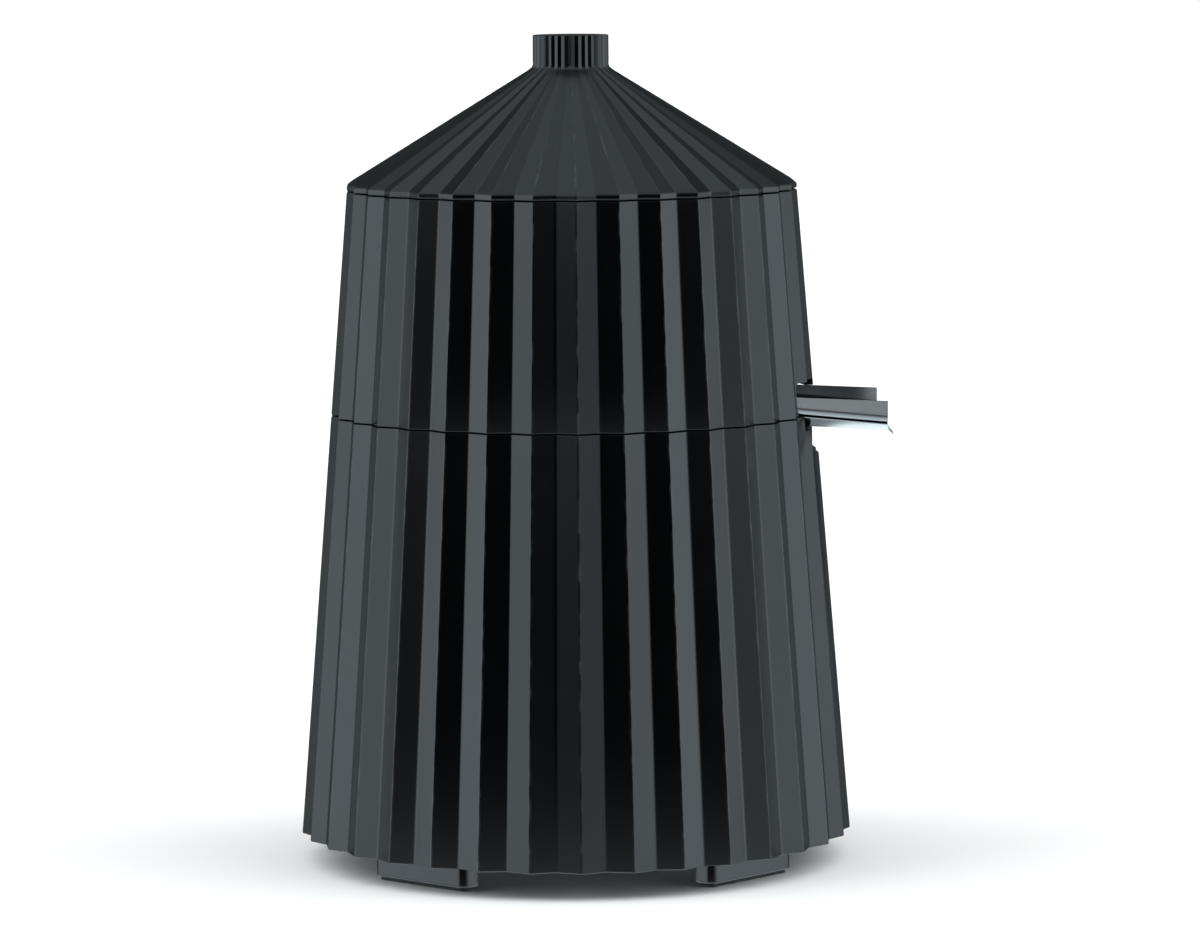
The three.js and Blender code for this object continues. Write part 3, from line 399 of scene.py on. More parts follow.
def screw_boss(rib_reach):
    """Boss for a bottom screw, tied to the skirt by a rib."""
    boss = cylinder("boss", BOSS_RADIUS, BOSS_BOTTOM_Z, BOSS_TOP_Z, x=BOSS_DISTANCE)
    half = RIB_HALF_WIDTH
    outline = [(-half, BOSS_BOTTOM_Z), (half, BOSS_BOTTOM_Z), (half, BOSS_TOP_Z), (-half, BOSS_TOP_Z)]
    rib_start = BOSS_DISTANCE + BOSS_RADIUS - RIB_HALF_WIDTH
    join(boss, prism("rib", outline, rib_start, BOSS_DISTANCE + rib_reach, "x"))
    return cut(boss, cylinder("boss_hole", BOSS_HOLE, BOSS_BOTTOM_Z - OVERRUN,
                              BOSS_TOP_Z - BOSS_SOLID, x=BOSS_DISTANCE))


def spout_notch():
    """Everything cut away under the spout: a flat on the ridges and a slot through the rim."""
    seam = BOWL_SEAM_Z + OVERRUN
    inside = RECESS_X - NOTCH_REACH
    side = [(RECESS_X, RECESS_BOTTOM_Z), (SKIRT_RIDGE, RECESS_BOTTOM_Z - RECESS_DROP),
            (SKIRT_RIDGE, seam), (RECESS_X, seam)]
    flat = prism("recess", side, -SPOUT_HALF_WIDTH, SPOUT_HALF_WIDTH, "y")
    slot = [(inside, NOTCH_BOTTOM_Z), (SKIRT_RIDGE, NOTCH_BOTTOM_Z), (SKIRT_RIDGE, seam),
            (inside, seam)]
    return join(flat, prism("slot", slot, -NOTCH_HALF_WIDTH, NOTCH_HALF_WIDTH, "y"))


def upper_housing():
    """Pleated wall round the bowl, with the spigot below it and the window for the spout."""
    bottom, top = BOWL_SEAM_Z + SEAM_HALF, LID_SEAM_Z - SEAM_HALF
    web = WEB_TOP_Z - WEB_THICKNESS
    rings = [*edge_up(bottom), *edge_over(top),
             circle(MOUTH_RADIUS + EDGE, top), circle(MOUTH_RADIUS, top - EDGE),
             circle(MOUTH_RADIUS, RIM_Z), circle(LEDGE_RADIUS + EDGE, RIM_Z),
             circle(LEDGE_RADIUS, RIM_Z - EDGE), circle(LEDGE_RADIUS, LEDGE_BOTTOM_Z),
             pleated(ridge_at(LEDGE_BOTTOM_Z) - WALL, LEDGE_BOTTOM_Z),
             pleated(ridge_at(WEB_TOP_Z) - WALL, WEB_TOP_Z),
             circle(SPIGOT_INNER, WEB_TOP_Z), circle(SPIGOT_INNER, SPIGOT_BOTTOM_Z + EDGE),
             circle(SPIGOT_INNER + EDGE, SPIGOT_BOTTOM_Z), circle(SPIGOT_OUTER - EDGE, SPIGOT_BOTTOM_Z),
             circle(SPIGOT_OUTER, SPIGOT_BOTTOM_Z + EDGE), circle(SPIGOT_OUTER, web),
             pleated(ridge_at(web) - WALL, web), pleated(ridge_at(bottom) - WALL, bottom)]
    body = loft("pleated_bowl_housing", rings, ends="loop")
    cut(body, spout_window())
    smooth(body)
    return mark_ridges(body)


def spout_window():
    """Opening for the spout, with a tongue between the slots that its walls swing in."""
    low = SPIGOT_BOTTOM_Z - OVERRUN
    corners = [(-WINDOW_HALF_WIDTH, low), (-WINDOW_HALF_WIDTH, WINDOW_TOP_Z),
               (-TONGUE_HALF_WIDTH, WINDOW_TOP_Z), (-TONGUE_HALF_WIDTH, TONGUE_Z)]
    corners += [(-y, z) for y, z in reversed(corners)]
    radii = [WINDOW_CORNER, TONGUE_CORNER, TONGUE_CORNER]
    outline = [tuple(point) for point in rounded(corners, radii + radii[::-1], steps=8)]
    return wall_cutter("window", outline, WINDOW_INNER_X, SKIRT_RIDGE)


def wall_cutter(name, outline, near, far):
    """Cutter along X whose outline may bend inward, so its ends are filled as whole faces."""
    count = len(outline)
    vertices = [(x, y, z) for x in (near, far) for y, z in outline]
    faces = [(i, (i + 1) % count, count + (i + 1) % count, count + i) for i in range(count)]
    faces += [tuple(range(count)), tuple(range(2 * count - 1, count - 1, -1))]
    return to_object(name, vertices, faces)


def lid():
    """Rim band, pleated cone and fluted neck, hollow inside, with a spigot below."""
    bottom, shelf = LID_SEAM_Z + SEAM_HALF, LID_RIM_TOP_Z + GAP
    low = bottom - LID_SPIGOT_DEPTH
    slope = Vector((CONE_TOP_RIDGE - LID_RIDGE, CONE_TOP_Z - LID_RIM_TOP_Z)).normalized()
    rim = [(LID_RIDGE - EDGE, bottom), (LID_RIDGE - EDGE_MIDDLE, bottom + EDGE_MIDDLE),
           (LID_RIDGE, bottom + EDGE)]
    rim += [(LID_RIDGE - inward, LID_RIM_TOP_Z + up) for inward, up in LID_RIM_CORNER]
    cone_start = Vector((LID_RIDGE, LID_RIM_TOP_Z)) + slope * CONE_START
    fillet = [(CONE_TOP_RIDGE + outward, CONE_TOP_Z + up) for outward, up in CONE_FILLET]
    fillet += [(NECK_RIDGE + outward, CONE_TOP_Z + up) for outward, up in NECK_FILLET]
    neck = [(NECK_RIDGE + outward, NECK_TOP_Z + up) for outward, up in NECK_CORNER]
    outside = [pleated(r, z) for r, z in [*rim, tuple(cone_start), *fillet, *neck]]
    inside = [pleated(CONE_TOP_RIDGE - LID_WALL, NECK_TOP_Z - NECK_CAP),
              pleated(CONE_TOP_RIDGE - LID_WALL, CONE_TOP_Z - CONE_CAP),
              pleated(LID_RIDGE - LID_WALL, shelf)]
    spigot = [circle(LID_SPIGOT_INNER, shelf), circle(LID_SPIGOT_INNER, low + LID_SPIGOT_EDGE),
              circle(LID_SPIGOT_INNER + LID_SPIGOT_EDGE, low),
              circle(LID_SPIGOT_OUTER - LID_SPIGOT_EDGE, low),
              circle(LID_SPIGOT_OUTER, low + LID_SPIGOT_EDGE), circle(LID_SPIGOT_OUTER, bottom)]
    rings = [*reversed(outside), *reversed(spigot), *reversed(inside)]
    return mark_ridges(loft("pleated_lid", rings))


# ---------------------------------------------------------------- feet


def rounded_block_ring(length, depth, corner, z, segments=7):
    """Ring of a rounded rectangle that lies across X, centred on the foot."""
    ring = []
    for quarter, (side_x, side_y) in enumerate(((1, 1), (-1, 1), (-1, -1), (1, -1))):
        for step in range(segments + 1):
            angle = math.pi / 2 * (quarter + step / segments)
            ring.append((side_x * (depth / 2 - corner) + corner * math.cos(angle),
                         side_y * (length / 2 - corner) + corner * math.sin(angle), z))
    return [(x + FOOT_FACE - FOOT_DEPTH / 2, y, z) for x, y, z in ring]


def inset_ring(inset, z):
    """Outline of a foot, drawn in by an inset."""
    corner = max(FOOT_CORNER - inset, SMALLEST_CORNER)
    return rounded_block_ring(FOOT_LENGTH - 2 * inset, FOOT_DEPTH - 2 * inset, corner, z)


def round_ring(radius, z):
    """Round ring in the middle of a foot, with as many points as its outline."""
    middle = FOOT_FACE - FOOT_DEPTH / 2
    like = inset_ring(0, z)
    angles = [math.atan2(y, x - middle) for x, y, _ in like]
    return [(middle + radius * math.cos(a), radius * math.sin(a), z) for a in angles]


def foot(index, angle):
    """Block with a rounded lower edge, a pocket for its pad and a peg on top."""
    arc = [(FOOT_ROUNDING * (1 - math.sin(a)), FOOT_ROUNDING * (1 - math.cos(a)))
           for a in map(math.radians, FOOT_ARC)]
    pocket = PAD_INSET - PAD_GAP
    rings = [inset_ring(pocket, PAD_POCKET_Z), inset_ring(pocket, FOOT_BOTTOM_Z + POCKET_EDGE)]
    rings += [inset_ring(min(inset, pocket - POCKET_EDGE), FOOT_BOTTOM_Z + rise)
              for inset, rise in arc]
    rings += [inset_ring(0, FOOT_TOP_Z), round_ring(PEG_RADIUS, FOOT_TOP_Z),
              round_ring(PEG_RADIUS, PEG_TOP_Z - PEG_EDGE),
              round_ring(PEG_RADIUS - PEG_EDGE, PEG_TOP_Z)]
    return turn(loft(f"rounded_foot_{index}", rings), angle)


def foot_pad(index, angle):
    """Flat pad with rounded edges; PAD_PROFILE gives (inset, height) up its side."""
    rings = [inset_ring(PAD_INSET + inset, z) for inset, z in PAD_PROFILE]
    return turn(loft(f"rubber_pad_{index}", rings), angle)


# ---------------------------------------------------------------- spout


def spout_heights(x):
    """Heights of the trough's top edge, crease and floor, which fall evenly along X."""
    share = (x - SPOUT_BODY_X) / (SPOUT_OUTER_X - SPOUT_BODY_X)
    return [a + share * (b - a) for a, b in (SPOUT_TOP_Z, SPOUT_CREASE_Z, SPOUT_FLOOR_Z)]


def spout_skins(x):
    """Right half of the sheet's outer and inner lines, from the top edge to the middle."""
    top, crease, floor = spout_heights(x)
    wall, sheet = SPOUT_HALF_WIDTH, SPOUT_SHEET
    groove, lower = crease - SPOUT_GROOVE_HEIGHT, crease - SPOUT_SHOULDER
    roof, curl = crease + SPOUT_SLACK, crease + SPOUT_CURL_HEIGHT
    deep = wall - SPOUT_GROOVE_DEPTH
    outer = [(wall, top), (wall, curl), (wall - SPOUT_CURL_DEPTH, crease), (deep, roof),
             (deep, groove), (wall - SPOUT_SHOULDER, lower), (SPOUT_FLOOR_HALF_WIDTH, floor),
             (0, floor)]
    inner = [(wall - sheet, top), (wall - sheet, curl + INNER_CURL_RISE),
             (wall - sheet - INNER_CURL_STEP, roof + sheet + SPOUT_SLACK),
             (deep - sheet, roof + sheet), (deep - sheet, groove + SPOUT_SLACK),
             (deep - sheet - INNER_GROOVE_STEP, lower),
             (SPOUT_FLOOR_HALF_WIDTH - INNER_FLOOR_STEP, floor + sheet), (0, floor + sheet)]
    return rounded(outer, SPOUT_OUTER_BENDS), rounded(inner, SPOUT_INNER_BENDS)


def spout_row(x, past=0.0):
    """Whole cross-section; past runs 0 to 1 over the lip that reaches beyond the walls."""
    _, crease, floor = spout_heights(x)
    flat = crease - SPOUT_SHOULDER
    sides = []
    for line in spout_skins(x):
        half = []
        for y, z in line:
            low = min(1.0, max(0.0, (flat - z) / (flat - floor - SPOUT_SHEET)))
            half.append((x + past * low * (SPOUT_TIP_X - SPOUT_OUTER_X), y,
                         z - past * past * low * SPOUT_LIP_DROP))
        sides.append(half + [(px, -y, z) for px, y, z in reversed(half[:-1])])
    outer, inner = sides
    return outer + list(reversed(inner))


def spout():
    """Trough bent from one sheet, closed at its inner end, with a drooping pouring lip."""
    length = SPOUT_OUTER_X - SPOUT_INNER_X
    rows = [spout_row(SPOUT_INNER_X + length * i / SPOUT_ROWS) for i in range(SPOUT_ROWS + 1)]
    rows += [spout_row(SPOUT_OUTER_X, past) for past in SPOUT_LIP_STEPS]
    body = loft("bent_spout", rows, ends="strip", sharp_degrees=SPOUT_SHARP_DEGREES)
    outer, _ = spout_skins(SPOUT_INNER_X)
    plate = [(y * END_WALL_WIDTH, z + END_WALL_LIFT) for y, z in outer]
    plate += [(-y, z) for y, z in reversed(plate[:-1])]
    join(body, prism("end_wall", plate, SPOUT_INNER_X, SPOUT_INNER_X + SPOUT_SHEET, "x"))
    smooth(body, SPOUT_SHARP_DEGREES)
    # marks the groove under the walls, where shade is painted into the steel's colour
    mark_groove_painted_shade(body)
    return soften(body, SPOUT_SOFTENING, 2)


def mark_groove_painted_shade(obj):
    """Stores which points lie deep in the groove under the walls, where painted shade darkens the
    steel's colour.
    """
    deepest = SPOUT_HALF_WIDTH - SPOUT_GROOVE_DEPTH
    marks = obj.data.attributes.new("groove", "FLOAT", "POINT")
    for vertex, mark in zip(obj.data.vertices, marks.data):
        _, crease, _ = spout_heights((vertex.co.x - AXIS_X) / MM)
        below = crease - vertex.co.z / MM
        near = abs(abs(vertex.co.y) / MM - deepest) < GROOVE_SHADE_REACH
        mark.value = float(near and -GROOVE_SHADE_OVER < below < SPOUT_SHOULDER)


# ---------------------------------------------------------------- bowl, strainer and reamer


def juice_bowl():
    """Bowl with a flange on the ledge, a chimney for the spindle and a nozzle over the spout."""
    step, floor_edge = BOWL_INNER - BOWL_STEP, BOWL_FLOOR_RADIUS - BOWL_CORNER
    ledge = RIM_Z + GAP
    body = lathe("juice_bowl_smooth", [
        (CHIMNEY_BORE, BOWL_FLOOR_BOTTOM_Z), (BOWL_FLOOR_RADIUS, BOWL_FLOOR_BOTTOM_Z),
        (step + BOWL_OUTER - BOWL_INNER, BOWL_STEP_Z - BOWL_STEP_DROP), (BOWL_OUTER, BOWL_STEP_Z),
        (BOWL_OUTER, ledge), (BOWL_FLANGE, ledge), (BOWL_FLANGE, BOWL_TOP_Z), (BOWL_INNER, BOWL_TOP_Z),
        (BOWL_INNER, BOWL_STEP_Z), (step, BOWL_STEP_Z), (floor_edge, BOWL_FLOOR_TOP_Z),
        (CHIMNEY_OUTER + CHIMNEY_FLARE, BOWL_FLOOR_TOP_Z), (CHIMNEY_OUTER, CHIMNEY_TOP_Z),
        (CHIMNEY_BORE, CHIMNEY_TOP_Z)])
    join(body, cylinder("nozzle", NOZZLE_RADIUS, NOZZLE_BOTTOM_Z,
                        BOWL_FLOOR_BOTTOM_Z + OVERLAP, x=NOZZLE_X))
    cut(body, cylinder("outlet", NOZZLE_BORE, NOZZLE_BOTTOM_Z - OVERRUN,
                       BOWL_FLOOR_TOP_Z + OVERRUN, x=NOZZLE_X))
    smooth(body)
    return soften(body, BOWL_SOFTENING)


def strainer():
    """Shallow tray with a ring of radial slots."""
    top = TRAY_FLOOR_Z + TRAY_SHEET
    body = lathe("strainer_slotted", [
        (TRAY_HUB, TRAY_FLOOR_Z), (TRAY_RADIUS, TRAY_FLOOR_Z), (TRAY_RADIUS, TRAY_RIM_TOP_Z),
        (TRAY_RADIUS - TRAY_SHEET, TRAY_RIM_TOP_Z), (TRAY_RADIUS - TRAY_SHEET, top),
        (TRAY_HUB + TRAY_SHEET, top), (TRAY_HUB + TRAY_SHEET, TRAY_HUB_TOP_Z),
        (TRAY_HUB, TRAY_HUB_TOP_Z)])
    near, far = TRAY_SLOT
    under, over, half = TRAY_FLOOR_Z - OVERRUN, top + OVERRUN, TRAY_SLOT_HALF_WIDTH
    outline = [(-half, under), (half, under), (half, over), (-half, over)]
    for i in range(TRAY_SLOTS):
        cut(body, turn(prism("slot", outline, near, far, "x"), (i + 0.5) * 360 / TRAY_SLOTS))
    smooth(body)
    return soften(body, TRAY_SOFTENING, 2)


def fluted(radius, z, depth, segments=ROUND_SEGMENTS):
    """Ring with the reamer's ridges; a depth of 0 makes it round."""
    ring = []
    for i in range(segments):
        angle = 2 * math.pi * i / segments
        swing = abs(math.cos(angle * REAMER_RIDGES / 2)) ** REAMER_FULLNESS
        r = radius * (1 - depth * swing)
        ring.append((r * math.cos(angle), r * math.sin(angle), z))
    return ring


def hexagon(radius, z, segments=ROUND_SEGMENTS):
    """Six-sided ring with as many points as a fluted one."""
    ring = []
    for i in range(segments):
        angle = 2 * math.pi * i / segments
        r = radius * math.cos(math.pi / 6) / math.cos(angle % (math.pi / 3) - math.pi / 6)
        ring.append((r * math.cos(angle), r * math.sin(angle), z))
    return ring


def reamer():
    """Fluted dome on a round flange, hollow below, with a hexagonal socket on its axis."""
    dome = []
    for share in (i / REAMER_ROWS * REAMER_TIP for i in range(REAMER_ROWS + 1)):
        radius = REAMER_RADIUS * math.cos(share * math.pi / 2) ** REAMER_FULLNESS
        height = REAMER_BASE_Z + REAMER_HEIGHT * share - REAMER_SINK
        dome.append(fluted(radius, height, REAMER_FLUTE))
    under = REAMER_BASE_Z - REAMER_PLATE
    outline = [(REAMER_RADIUS + REAMER_EDGE, REAMER_BASE_Z),
               (REAMER_FLANGE - REAMER_EDGE, REAMER_BASE_Z),
               (REAMER_FLANGE, REAMER_BASE_Z - REAMER_EDGE),
               (REAMER_FLANGE, REAMER_BOTTOM_Z + REAMER_FINE_EDGE),
               (REAMER_FLANGE - REAMER_FINE_EDGE, REAMER_BOTTOM_Z),
               (REAMER_FLANGE - REAMER_LIP, REAMER_BOTTOM_Z), (REAMER_FLANGE - REAMER_LIP, under)]
    skirt = [fluted(radius, z, 0) for radius, z in outline]
    wide, narrow = REAMER_HOLLOW
    hollow = [fluted(wide, under, 0), fluted(narrow, REAMER_HOLLOW_TOP_Z, 0),
              fluted(REAMER_HUB, REAMER_HOLLOW_TOP_Z, 0), fluted(REAMER_HUB, under, 0)]
    socket = [hexagon(REAMER_SOCKET, under), hexagon(REAMER_SOCKET, REAMER_SOCKET_TOP_Z)]
    return loft("reamer_fluted", [*reversed(dome), *skirt, *hollow, *socket])


# ---------------------------------------------------------------- materials


class Nodes:
    """Small helper to place and connect shader nodes."""

    def __init__(self, name):
        self.material = bpy.data.materials.new(name)
        self.material.use_nodes = True
        self.tree = self.material.node_tree
        self.shader = next(n for n in self.tree.nodes if n.type == "BSDF_PRINCIPLED")

    def add(self, kind, **inputs):
        node = self.tree.nodes.new(kind)
        for name, value in inputs.items():
            node.inputs[name.replace("_", " ")].default_value = value
        return node

    def link(self, source, target):
        self.tree.links.new(source, target)

    def noise(self, size, detail=3.0, stretch=(1, 1, 1)):
        """Noise in the piece's own coordinates, with features of a size in millimetres."""
        place = self.tree.nodes.new("ShaderNodeTexCoord")
        mapping = self.add("ShaderNodeMapping")
        mapping.inputs["Scale"].default_value = stretch
        texture = self.add("ShaderNodeTexNoise", Scale=1 / (size * MM), Detail=detail)
        self.link(place.outputs["Object"], mapping.inputs["Vector"])
        self.link(mapping.outputs["Vector"], texture.inputs["Vector"])
        return texture.outputs["Fac"]

    def mark(self, name):
        """What a piece's points store under a name; 0 for pieces without it."""
        node = self.tree.nodes.new("ShaderNodeAttribute")
        node.attribute_name = name
        return node.outputs["Fac"]

    def ranged(self, source, low, high, to_low, to_high):
        node = self.tree.nodes.new("ShaderNodeMapRange")
        values = zip(("From Min", "From Max", "To Min", "To Max"), (low, high, to_low, to_high))
        for name, value in values:
            node.inputs[name].default_value = value
        self.link(source, node.inputs["Value"])
        return node.outputs["Result"]

    def blended(self, factor, first, second):
        """Colour between two colours; either may be a socket."""
        node = self.tree.nodes.new("ShaderNodeMix")
        node.data_type = "RGBA"
        self.link(factor, node.inputs[0])
        for socket, value in ((node.inputs[6], first), (node.inputs[7], second)):
            if isinstance(value, bpy.types.NodeSocket):
                self.link(value, socket)
            else:
                socket.default_value = (*value, 1)
        return node.outputs[2]

    def combined(self, operation, first, second):
        node = self.tree.nodes.new("ShaderNodeMath")
        node.operation = operation
        self.link(first, node.inputs[0])
        self.link(second, node.inputs[1])
        return node.outputs[0]

    def bump(self, height, depth, strength=1.0):
        node = self.add("ShaderNodeBump", Distance=depth * MM, Strength=strength)
        self.link(height, node.inputs["Height"])
        self.link(node.outputs["Normal"], self.shader.inputs["Normal"])

    def set(self, **values):
        for name, value in values.items():
            self.shader.inputs[name.replace("_", " ")].default_value = value

    def colour(self, source):
        self.link(source, self.shader.inputs["Base Color"])

    def roughness(self, source):
        self.link(source, self.shader.inputs["Roughness"])


NOISE_RANGE = (0.3, 0.7)         # where most values of a noise lie
MOTTLING_RANGE = (0.7, 1.3)      # where most sums of two noises lie
WEAR_RANGE = (0.45, 0.65)        # values of a noise between which wear sets in
PLASTIC_TONES, PLASTIC_SPREAD = (0.8, 1.25), 0.012      # tones over the colour; of the roughness
METAL_TONES, METAL_SPREAD = (0.9, 1.08), 0.03
RUBBER_TONES, RUBBER_ROUGHNESS = ((0.004, 0.004, 0.0045), (0.012, 0.012, 0.012)), (0.7, 0.88)
WORN_PLASTIC = (0.05, 0.055, 0.058)
# near-black colour painted as shade into the groove under the spout's walls
GROOVE_PAINTED_SHADE = (0.004, 0.004, 0.004)


def tinted(colour, share):
    """The colour with every channel multiplied by a share."""
    return tuple(channel * share for channel in colour)


def plastic(name, colour, roughness, grain, depth, wear=0.0):
    """Moulded plastic: fine spark-eroded grain, a little mottling, edges rubbed brighter."""
    nodes = Nodes(name)
    cloud = nodes.noise(18, detail=4)
    speckle = nodes.noise(grain, detail=2)
    tone = nodes.ranged(nodes.combined("ADD", cloud, speckle), *MOTTLING_RANGE, 0, 1)
    base = nodes.blended(tone, *(tinted(colour, share) for share in PLASTIC_TONES))
    if wear:
        patches = nodes.ranged(nodes.noise(7, detail=5), *WEAR_RANGE, 0, wear)
        rubbed = nodes.combined("MULTIPLY", nodes.mark("ridge"), patches)
        base = nodes.blended(rubbed, base, WORN_PLASTIC)
    nodes.colour(base)
    nodes.roughness(nodes.ranged(cloud, *NOISE_RANGE, roughness - PLASTIC_SPREAD,
                                 roughness + PLASTIC_SPREAD))
    nodes.bump(speckle, depth)
    return nodes.material


def metal(name, colour, roughness, stretch, depth=0.004, line=0.5):
    """Metal with fine drawn or brushed lines and a faint change of tone, with painted shade darkening
    the colour in the marked groove.
    """
    nodes = Nodes(name)
    lines = nodes.noise(line, detail=3, stretch=stretch)
    cloud = nodes.noise(9, detail=3)
    unshaded_tone = nodes.blended(cloud, *(tinted(colour, share) for share in METAL_TONES))
    # painted shade: the colour turns near black where the groove mask is set
    nodes.colour(nodes.blended(nodes.mark("groove"), unshaded_tone, GROOVE_PAINTED_SHADE))
    nodes.roughness(nodes.ranged(lines, *NOISE_RANGE, roughness - METAL_SPREAD,
                                 roughness + METAL_SPREAD))
    nodes.bump(lines, depth)
    nodes.set(Metallic=1.0)
    return nodes.material


def rubber(name):
    """Dull rubber with a powdery surface."""
    nodes = Nodes(name)
    powder = nodes.noise(0.35, detail=4)
    nodes.colour(nodes.blended(powder, *RUBBER_TONES))
    nodes.roughness(nodes.ranged(powder, *NOISE_RANGE, *RUBBER_ROUGHNESS))
    nodes.bump(powder, 0.02)
    return nodes.material


def make_materials():
    """One material for each slot."""
    return {
        "casing": plastic("charcoal_casing", (0.0012, 0.0016, 0.0018), 0.24, 0.55, 0.010, wear=0.5),
        "black_plastic": plastic("black_plastic", (0.006, 0.0063, 0.0066), 0.45, 0.5, 0.012),
        "bowl_plastic": plastic("smoke_plastic", (0.018, 0.020, 0.022), 0.24, 0.7, 0.005, wear=0.3),
        "rubber": rubber("soft_rubber"),
        "satin_steel": metal("satin_steel", (0.42, 0.43, 0.44), 0.2, (0.02, 1, 1), 0.0004, line=0.2),
        "plain_steel": metal("plain_steel", (0.46, 0.47, 0.48), 0.36, (1, 1, 0.1)),
        "bronze": metal("sintered_bronze", (0.44, 0.30, 0.14), 0.42, (1, 1, 1), 0.01),
        "nylon": plastic("natural_nylon", (0.74, 0.72, 0.66), 0.4, 0.8, 0.008),
        "copper": metal("copper_winding", (0.5, 0.2, 0.09), 0.38, (1, 1, 6), 0.03),
        "red_plastic": plastic("red_plastic", (0.26, 0.03, 0.025), 0.4, 0.6, 0.008),
        "grey_plastic": plastic("grey_plastic", (0.22, 0.23, 0.24), 0.45, 0.6, 0.01),
    }


# ---------------------------------------------------------------- assembly


def make_pieces():
    """Every finely modelled piece, with the CAD node it stands for."""
    made = {
        "base_housing": base_housing(), "upper_housing": upper_housing(), "lid": lid(),
        "spout": spout(), "juice_bowl": juice_bowl(), "strainer": strainer(), "reamer": reamer(),
    }
    for index, angle in enumerate(FOOT_ANGLES, start=1):
        made[f"foot_{index}"] = foot(index, angle)
        made[f"foot_pad_{index}"] = foot_pad(index, angle)
    return made


def assemble():
    """Gives every piece its material and body; the fine pieces replace their CAD nodes."""
    materials = make_materials()
    slots = {part["node"]: part["material_slot"] for part in frame["record"]["subparts"]}
    bodies = frame["record"]["behaviour"]["bodies"]
    body_of_node = {node: body for body, nodes in bodies.items() for node in nodes}
    made = make_pieces()
    for node, shown in {**frame["nodes"], **made}.items():
        shown.data.materials.clear()
        shown.data.materials.append(materials[slots[node]])
    for node, piece in made.items():
        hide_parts(node)
        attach(piece, body_of_node[node])


assemble()

# ---------------------------------------------------------------- stage: floor and studio light

FLOOR_HALF_SIZE = 8.0            # in metres, as are the cards below
FLOOR_COLOUR = (0.86, 0.86, 0.86)
FLOOR_LIGHT = 2.4                # the studio's light on the floor, over what the casing mirrors
SIDE_LIGHT, TOP_LIGHT = 2.1, 0.6
TOP_SIDEWAYS = 0.6               # how much brighter the light from above grows to both sides
STUDIO_TINT = (0.86, 1.0, 1.07, 1)
FRONT_CARD_POWER, UNDER_CARD_POWER = 0.42, 0.006
CARD_TINT = (0.93, 1.0, 1.03)
UNDER_LIGHT, UNDER_STARTS, UNDER_FULL = 1.2, -0.28, -0.55   # brightness mirrored from below
TOP_STARTS, TOP_FULL = 0.6, 0.92  # sines of the heights between which the light from above begins
# Brightness round the object by angle from the camera's side; positive is to the right.
STUDIO_RING = [(-180, 0.04), (-145, 0.05), (-124, 0.2), (-106, 0.72), (-84, 1.05), (-62, 0.9),
               (-53, 0.75), (-48, 0.12), (-44, 0.0), (31, 0.0), (36, 0.3), (50, 0.36),
               (56, 0.66), (69, 0.95), (90, 1.0), (106, 0.62), (124, 0.17), (145, 0.05), (180, 0.04)]


def make_floor():
    """Pale matt floor, which glossy pieces don't mirror."""
    mesh = bpy.data.meshes.new("studio_floor")
    half = FLOOR_HALF_SIZE
    corners = [(-half, -half, 0), (half, -half, 0), (half, half, 0), (-half, half, 0)]
    mesh.from_pydata(corners, [], [(0, 1, 2, 3)])
    floor = bpy.data.objects.new("studio_floor", mesh)
    bpy.context.scene.collection.objects.link(floor)
    nodes = Nodes("pale_floor")
    nodes.set(Roughness=0.9, Specular_IOR_Level=0.0)
    nodes.set(Base_Color=(*FLOOR_COLOUR, 1))
    mesh.materials.append(nodes.material)
    floor.visible_glossy = False


class Sky:
    """The studio's surround, with small helpers to calculate its brightness."""

    def __init__(self):
        world = bpy.data.worlds.new("studio")
        bpy.context.scene.world = world
        world.use_nodes = True
        self.tree = world.node_tree
        self.tree.nodes.clear()

    def add(self, kind):
        return self.tree.nodes.new(kind)

    def link(self, source, target):
        self.tree.links.new(source, target)

    def calc(self, operation, *values):
        node = self.add("ShaderNodeMath")
        node.operation = operation
        for socket, value in zip(node.inputs, values):
            if isinstance(value, bpy.types.NodeSocket):
                self.link(value, socket)
            else:
                socket.default_value = value
        return node.outputs[0]

    def share_of_height(self, source, start, full):
        """Rises smoothly from 0 to 1 between two sines of the height."""
        node = self.add("ShaderNodeMapRange")
        node.interpolation_type = "SMOOTHSTEP"
        node.inputs["From Min"].default_value = start
        node.inputs["From Max"].default_value = full
        self.link(source, node.inputs["Value"])
        return node.outputs["Result"]


def side_brightness(sky, x, y):
    """Brightness round the object, as STUDIO_RING gives it."""
    around = sky.calc("ARCTAN2", x, sky.calc("MULTIPLY", y, -1.0))
    share_of_turn = sky.calc("ADD", sky.calc("DIVIDE", around, 2 * math.pi), 0.5)
    ramp = sky.add("ShaderNodeValToRGB")
    elements = ramp.color_ramp.elements
    while len(elements) < len(STUDIO_RING):
        elements.new(0.5)
    for element, (degrees, value) in zip(elements, STUDIO_RING):
        element.position = degrees / 360 + 0.5
        element.color = (value, value, value, 1)
    sky.link(share_of_turn, ramp.inputs["Fac"])
    return sky.calc("MULTIPLY", ramp.outputs["Color"], SIDE_LIGHT)


def studio_brightness(sky):
    """Brightness in every direction: the ring round the sides, turning into above and below."""
    place = sky.add("ShaderNodeTexCoord")
    split = sky.add("ShaderNodeSeparateXYZ")
    sky.link(place.outputs["Generated"], split.inputs[0])
    x, y, z = split.outputs
    side = side_brightness(sky, x, y)
    top = sky.share_of_height(z, TOP_STARTS, TOP_FULL)
    under = sky.share_of_height(z, UNDER_STARTS, UNDER_FULL)
    level = sky.calc("SUBTRACT", 1.0, sky.calc("ADD", top, under))
    across = sky.calc("MULTIPLY_ADD", sky.calc("ABSOLUTE", x), TOP_SIDEWAYS, TOP_LIGHT)
    from_ends = sky.calc("ADD", sky.calc("MULTIPLY", top, across),
                         sky.calc("MULTIPLY", under, UNDER_LIGHT))
    return sky.calc("ADD", from_ends, sky.calc("MULTIPLY", side, level))


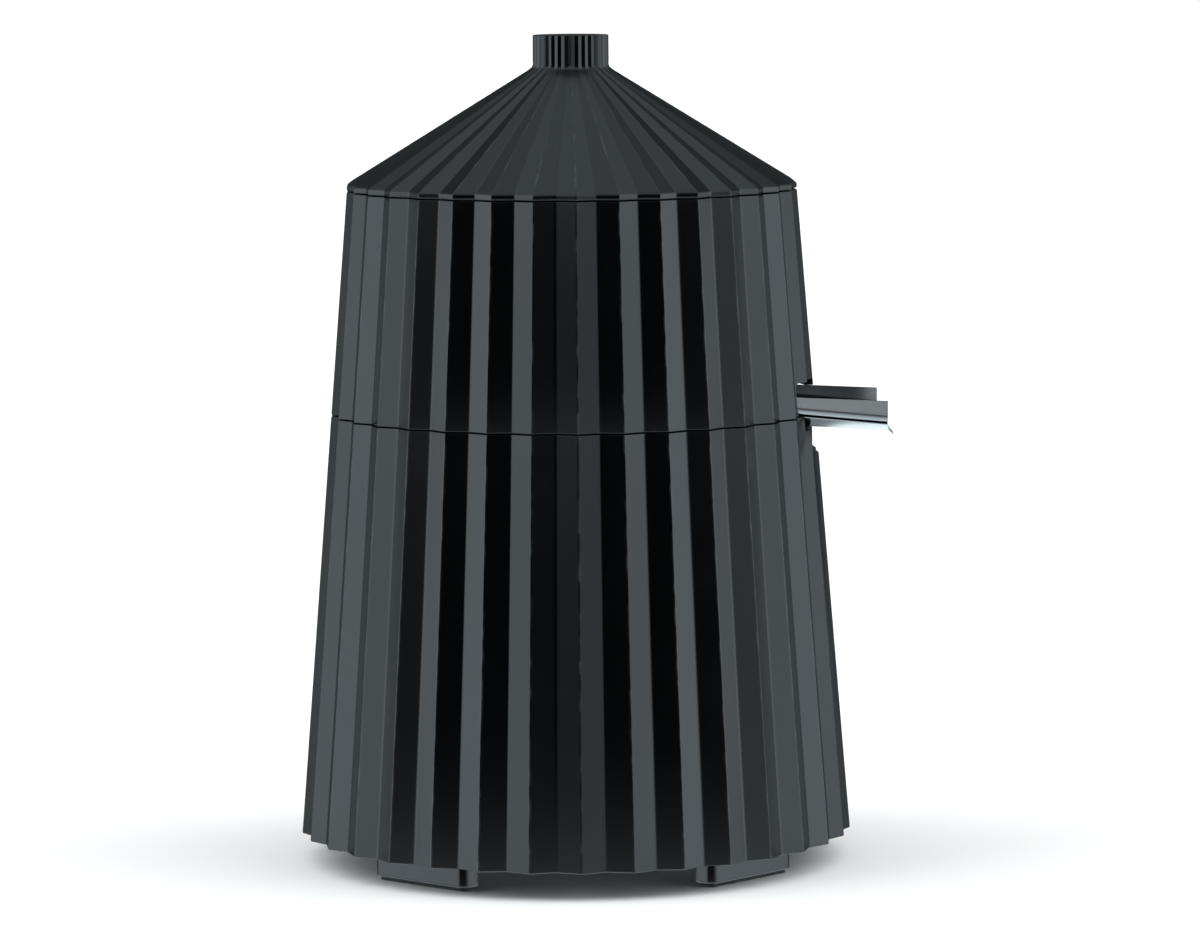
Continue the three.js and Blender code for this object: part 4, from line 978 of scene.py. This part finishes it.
def make_studio():
    """White surround: dark on the camera's side, tall softboxes at both sides, soft from above
    and below. Glossy pieces mirror it in place of the floor, so their facets stay even."""
    sky = Sky()
    path = sky.add("ShaderNodeLightPath")
    plain, diffuse = path.outputs["Is Camera Ray"], path.outputs["Is Diffuse Ray"]
    boost = sky.calc("ADD", 1.0, sky.calc("MULTIPLY", diffuse, FLOOR_LIGHT - 1))
    lit = sky.calc("MULTIPLY", studio_brightness(sky), boost)
    keep = sky.calc("MULTIPLY", lit, sky.calc("SUBTRACT", 1.0, plain))
    tint = sky.add("ShaderNodeMix")
    tint.data_type = "RGBA"
    tint.inputs[6].default_value = STUDIO_TINT
    tint.inputs[7].default_value = (1, 1, 1, 1)
    sky.link(sky.calc("MAXIMUM", plain, diffuse), tint.inputs[0])
    background = sky.add("ShaderNodeBackground")
    output = sky.add("ShaderNodeOutputWorld")
    sky.link(tint.outputs[2], background.inputs["Color"])
    sky.link(sky.calc("ADD", keep, plain), background.inputs["Strength"])
    sky.link(background.outputs[0], output.inputs["Surface"])


def make_card(name, place, aim, size, power):
    """A small soft card that only the steel of the spout mirrors."""
    data = bpy.data.lights.new(name, "AREA")
    data.shape = "RECTANGLE"
    data.size, data.size_y = size
    data.energy = power
    data.color = CARD_TINT
    card = bpy.data.objects.new(name, data)
    bpy.context.scene.collection.objects.link(card)
    card.location = place
    card.rotation_mode = "QUATERNION"
    card.rotation_quaternion = (Vector(aim) - Vector(place)).to_track_quat("-Z", "Y")
    card.visible_camera = False
    lit = bpy.data.collections.new("lit_by_" + name)
    lit.objects.link(bpy.data.objects["bent_spout"])
    card.light_linking.receiver_collection = lit


make_floor()
make_studio()
make_card("front_card", place=(0.08, -1.3, 0.02), aim=(0.09, 0.0, 0.145), size=(0.9, 0.22),
          power=FRONT_CARD_POWER)
make_card("under_card", place=(0.088, 0.05, 0.04), aim=(0.078, -0.022, 0.143),
          size=(0.03, 0.06), power=UNDER_CARD_POWER)
bpy.context.scene.view_settings.view_transform = "Standard"
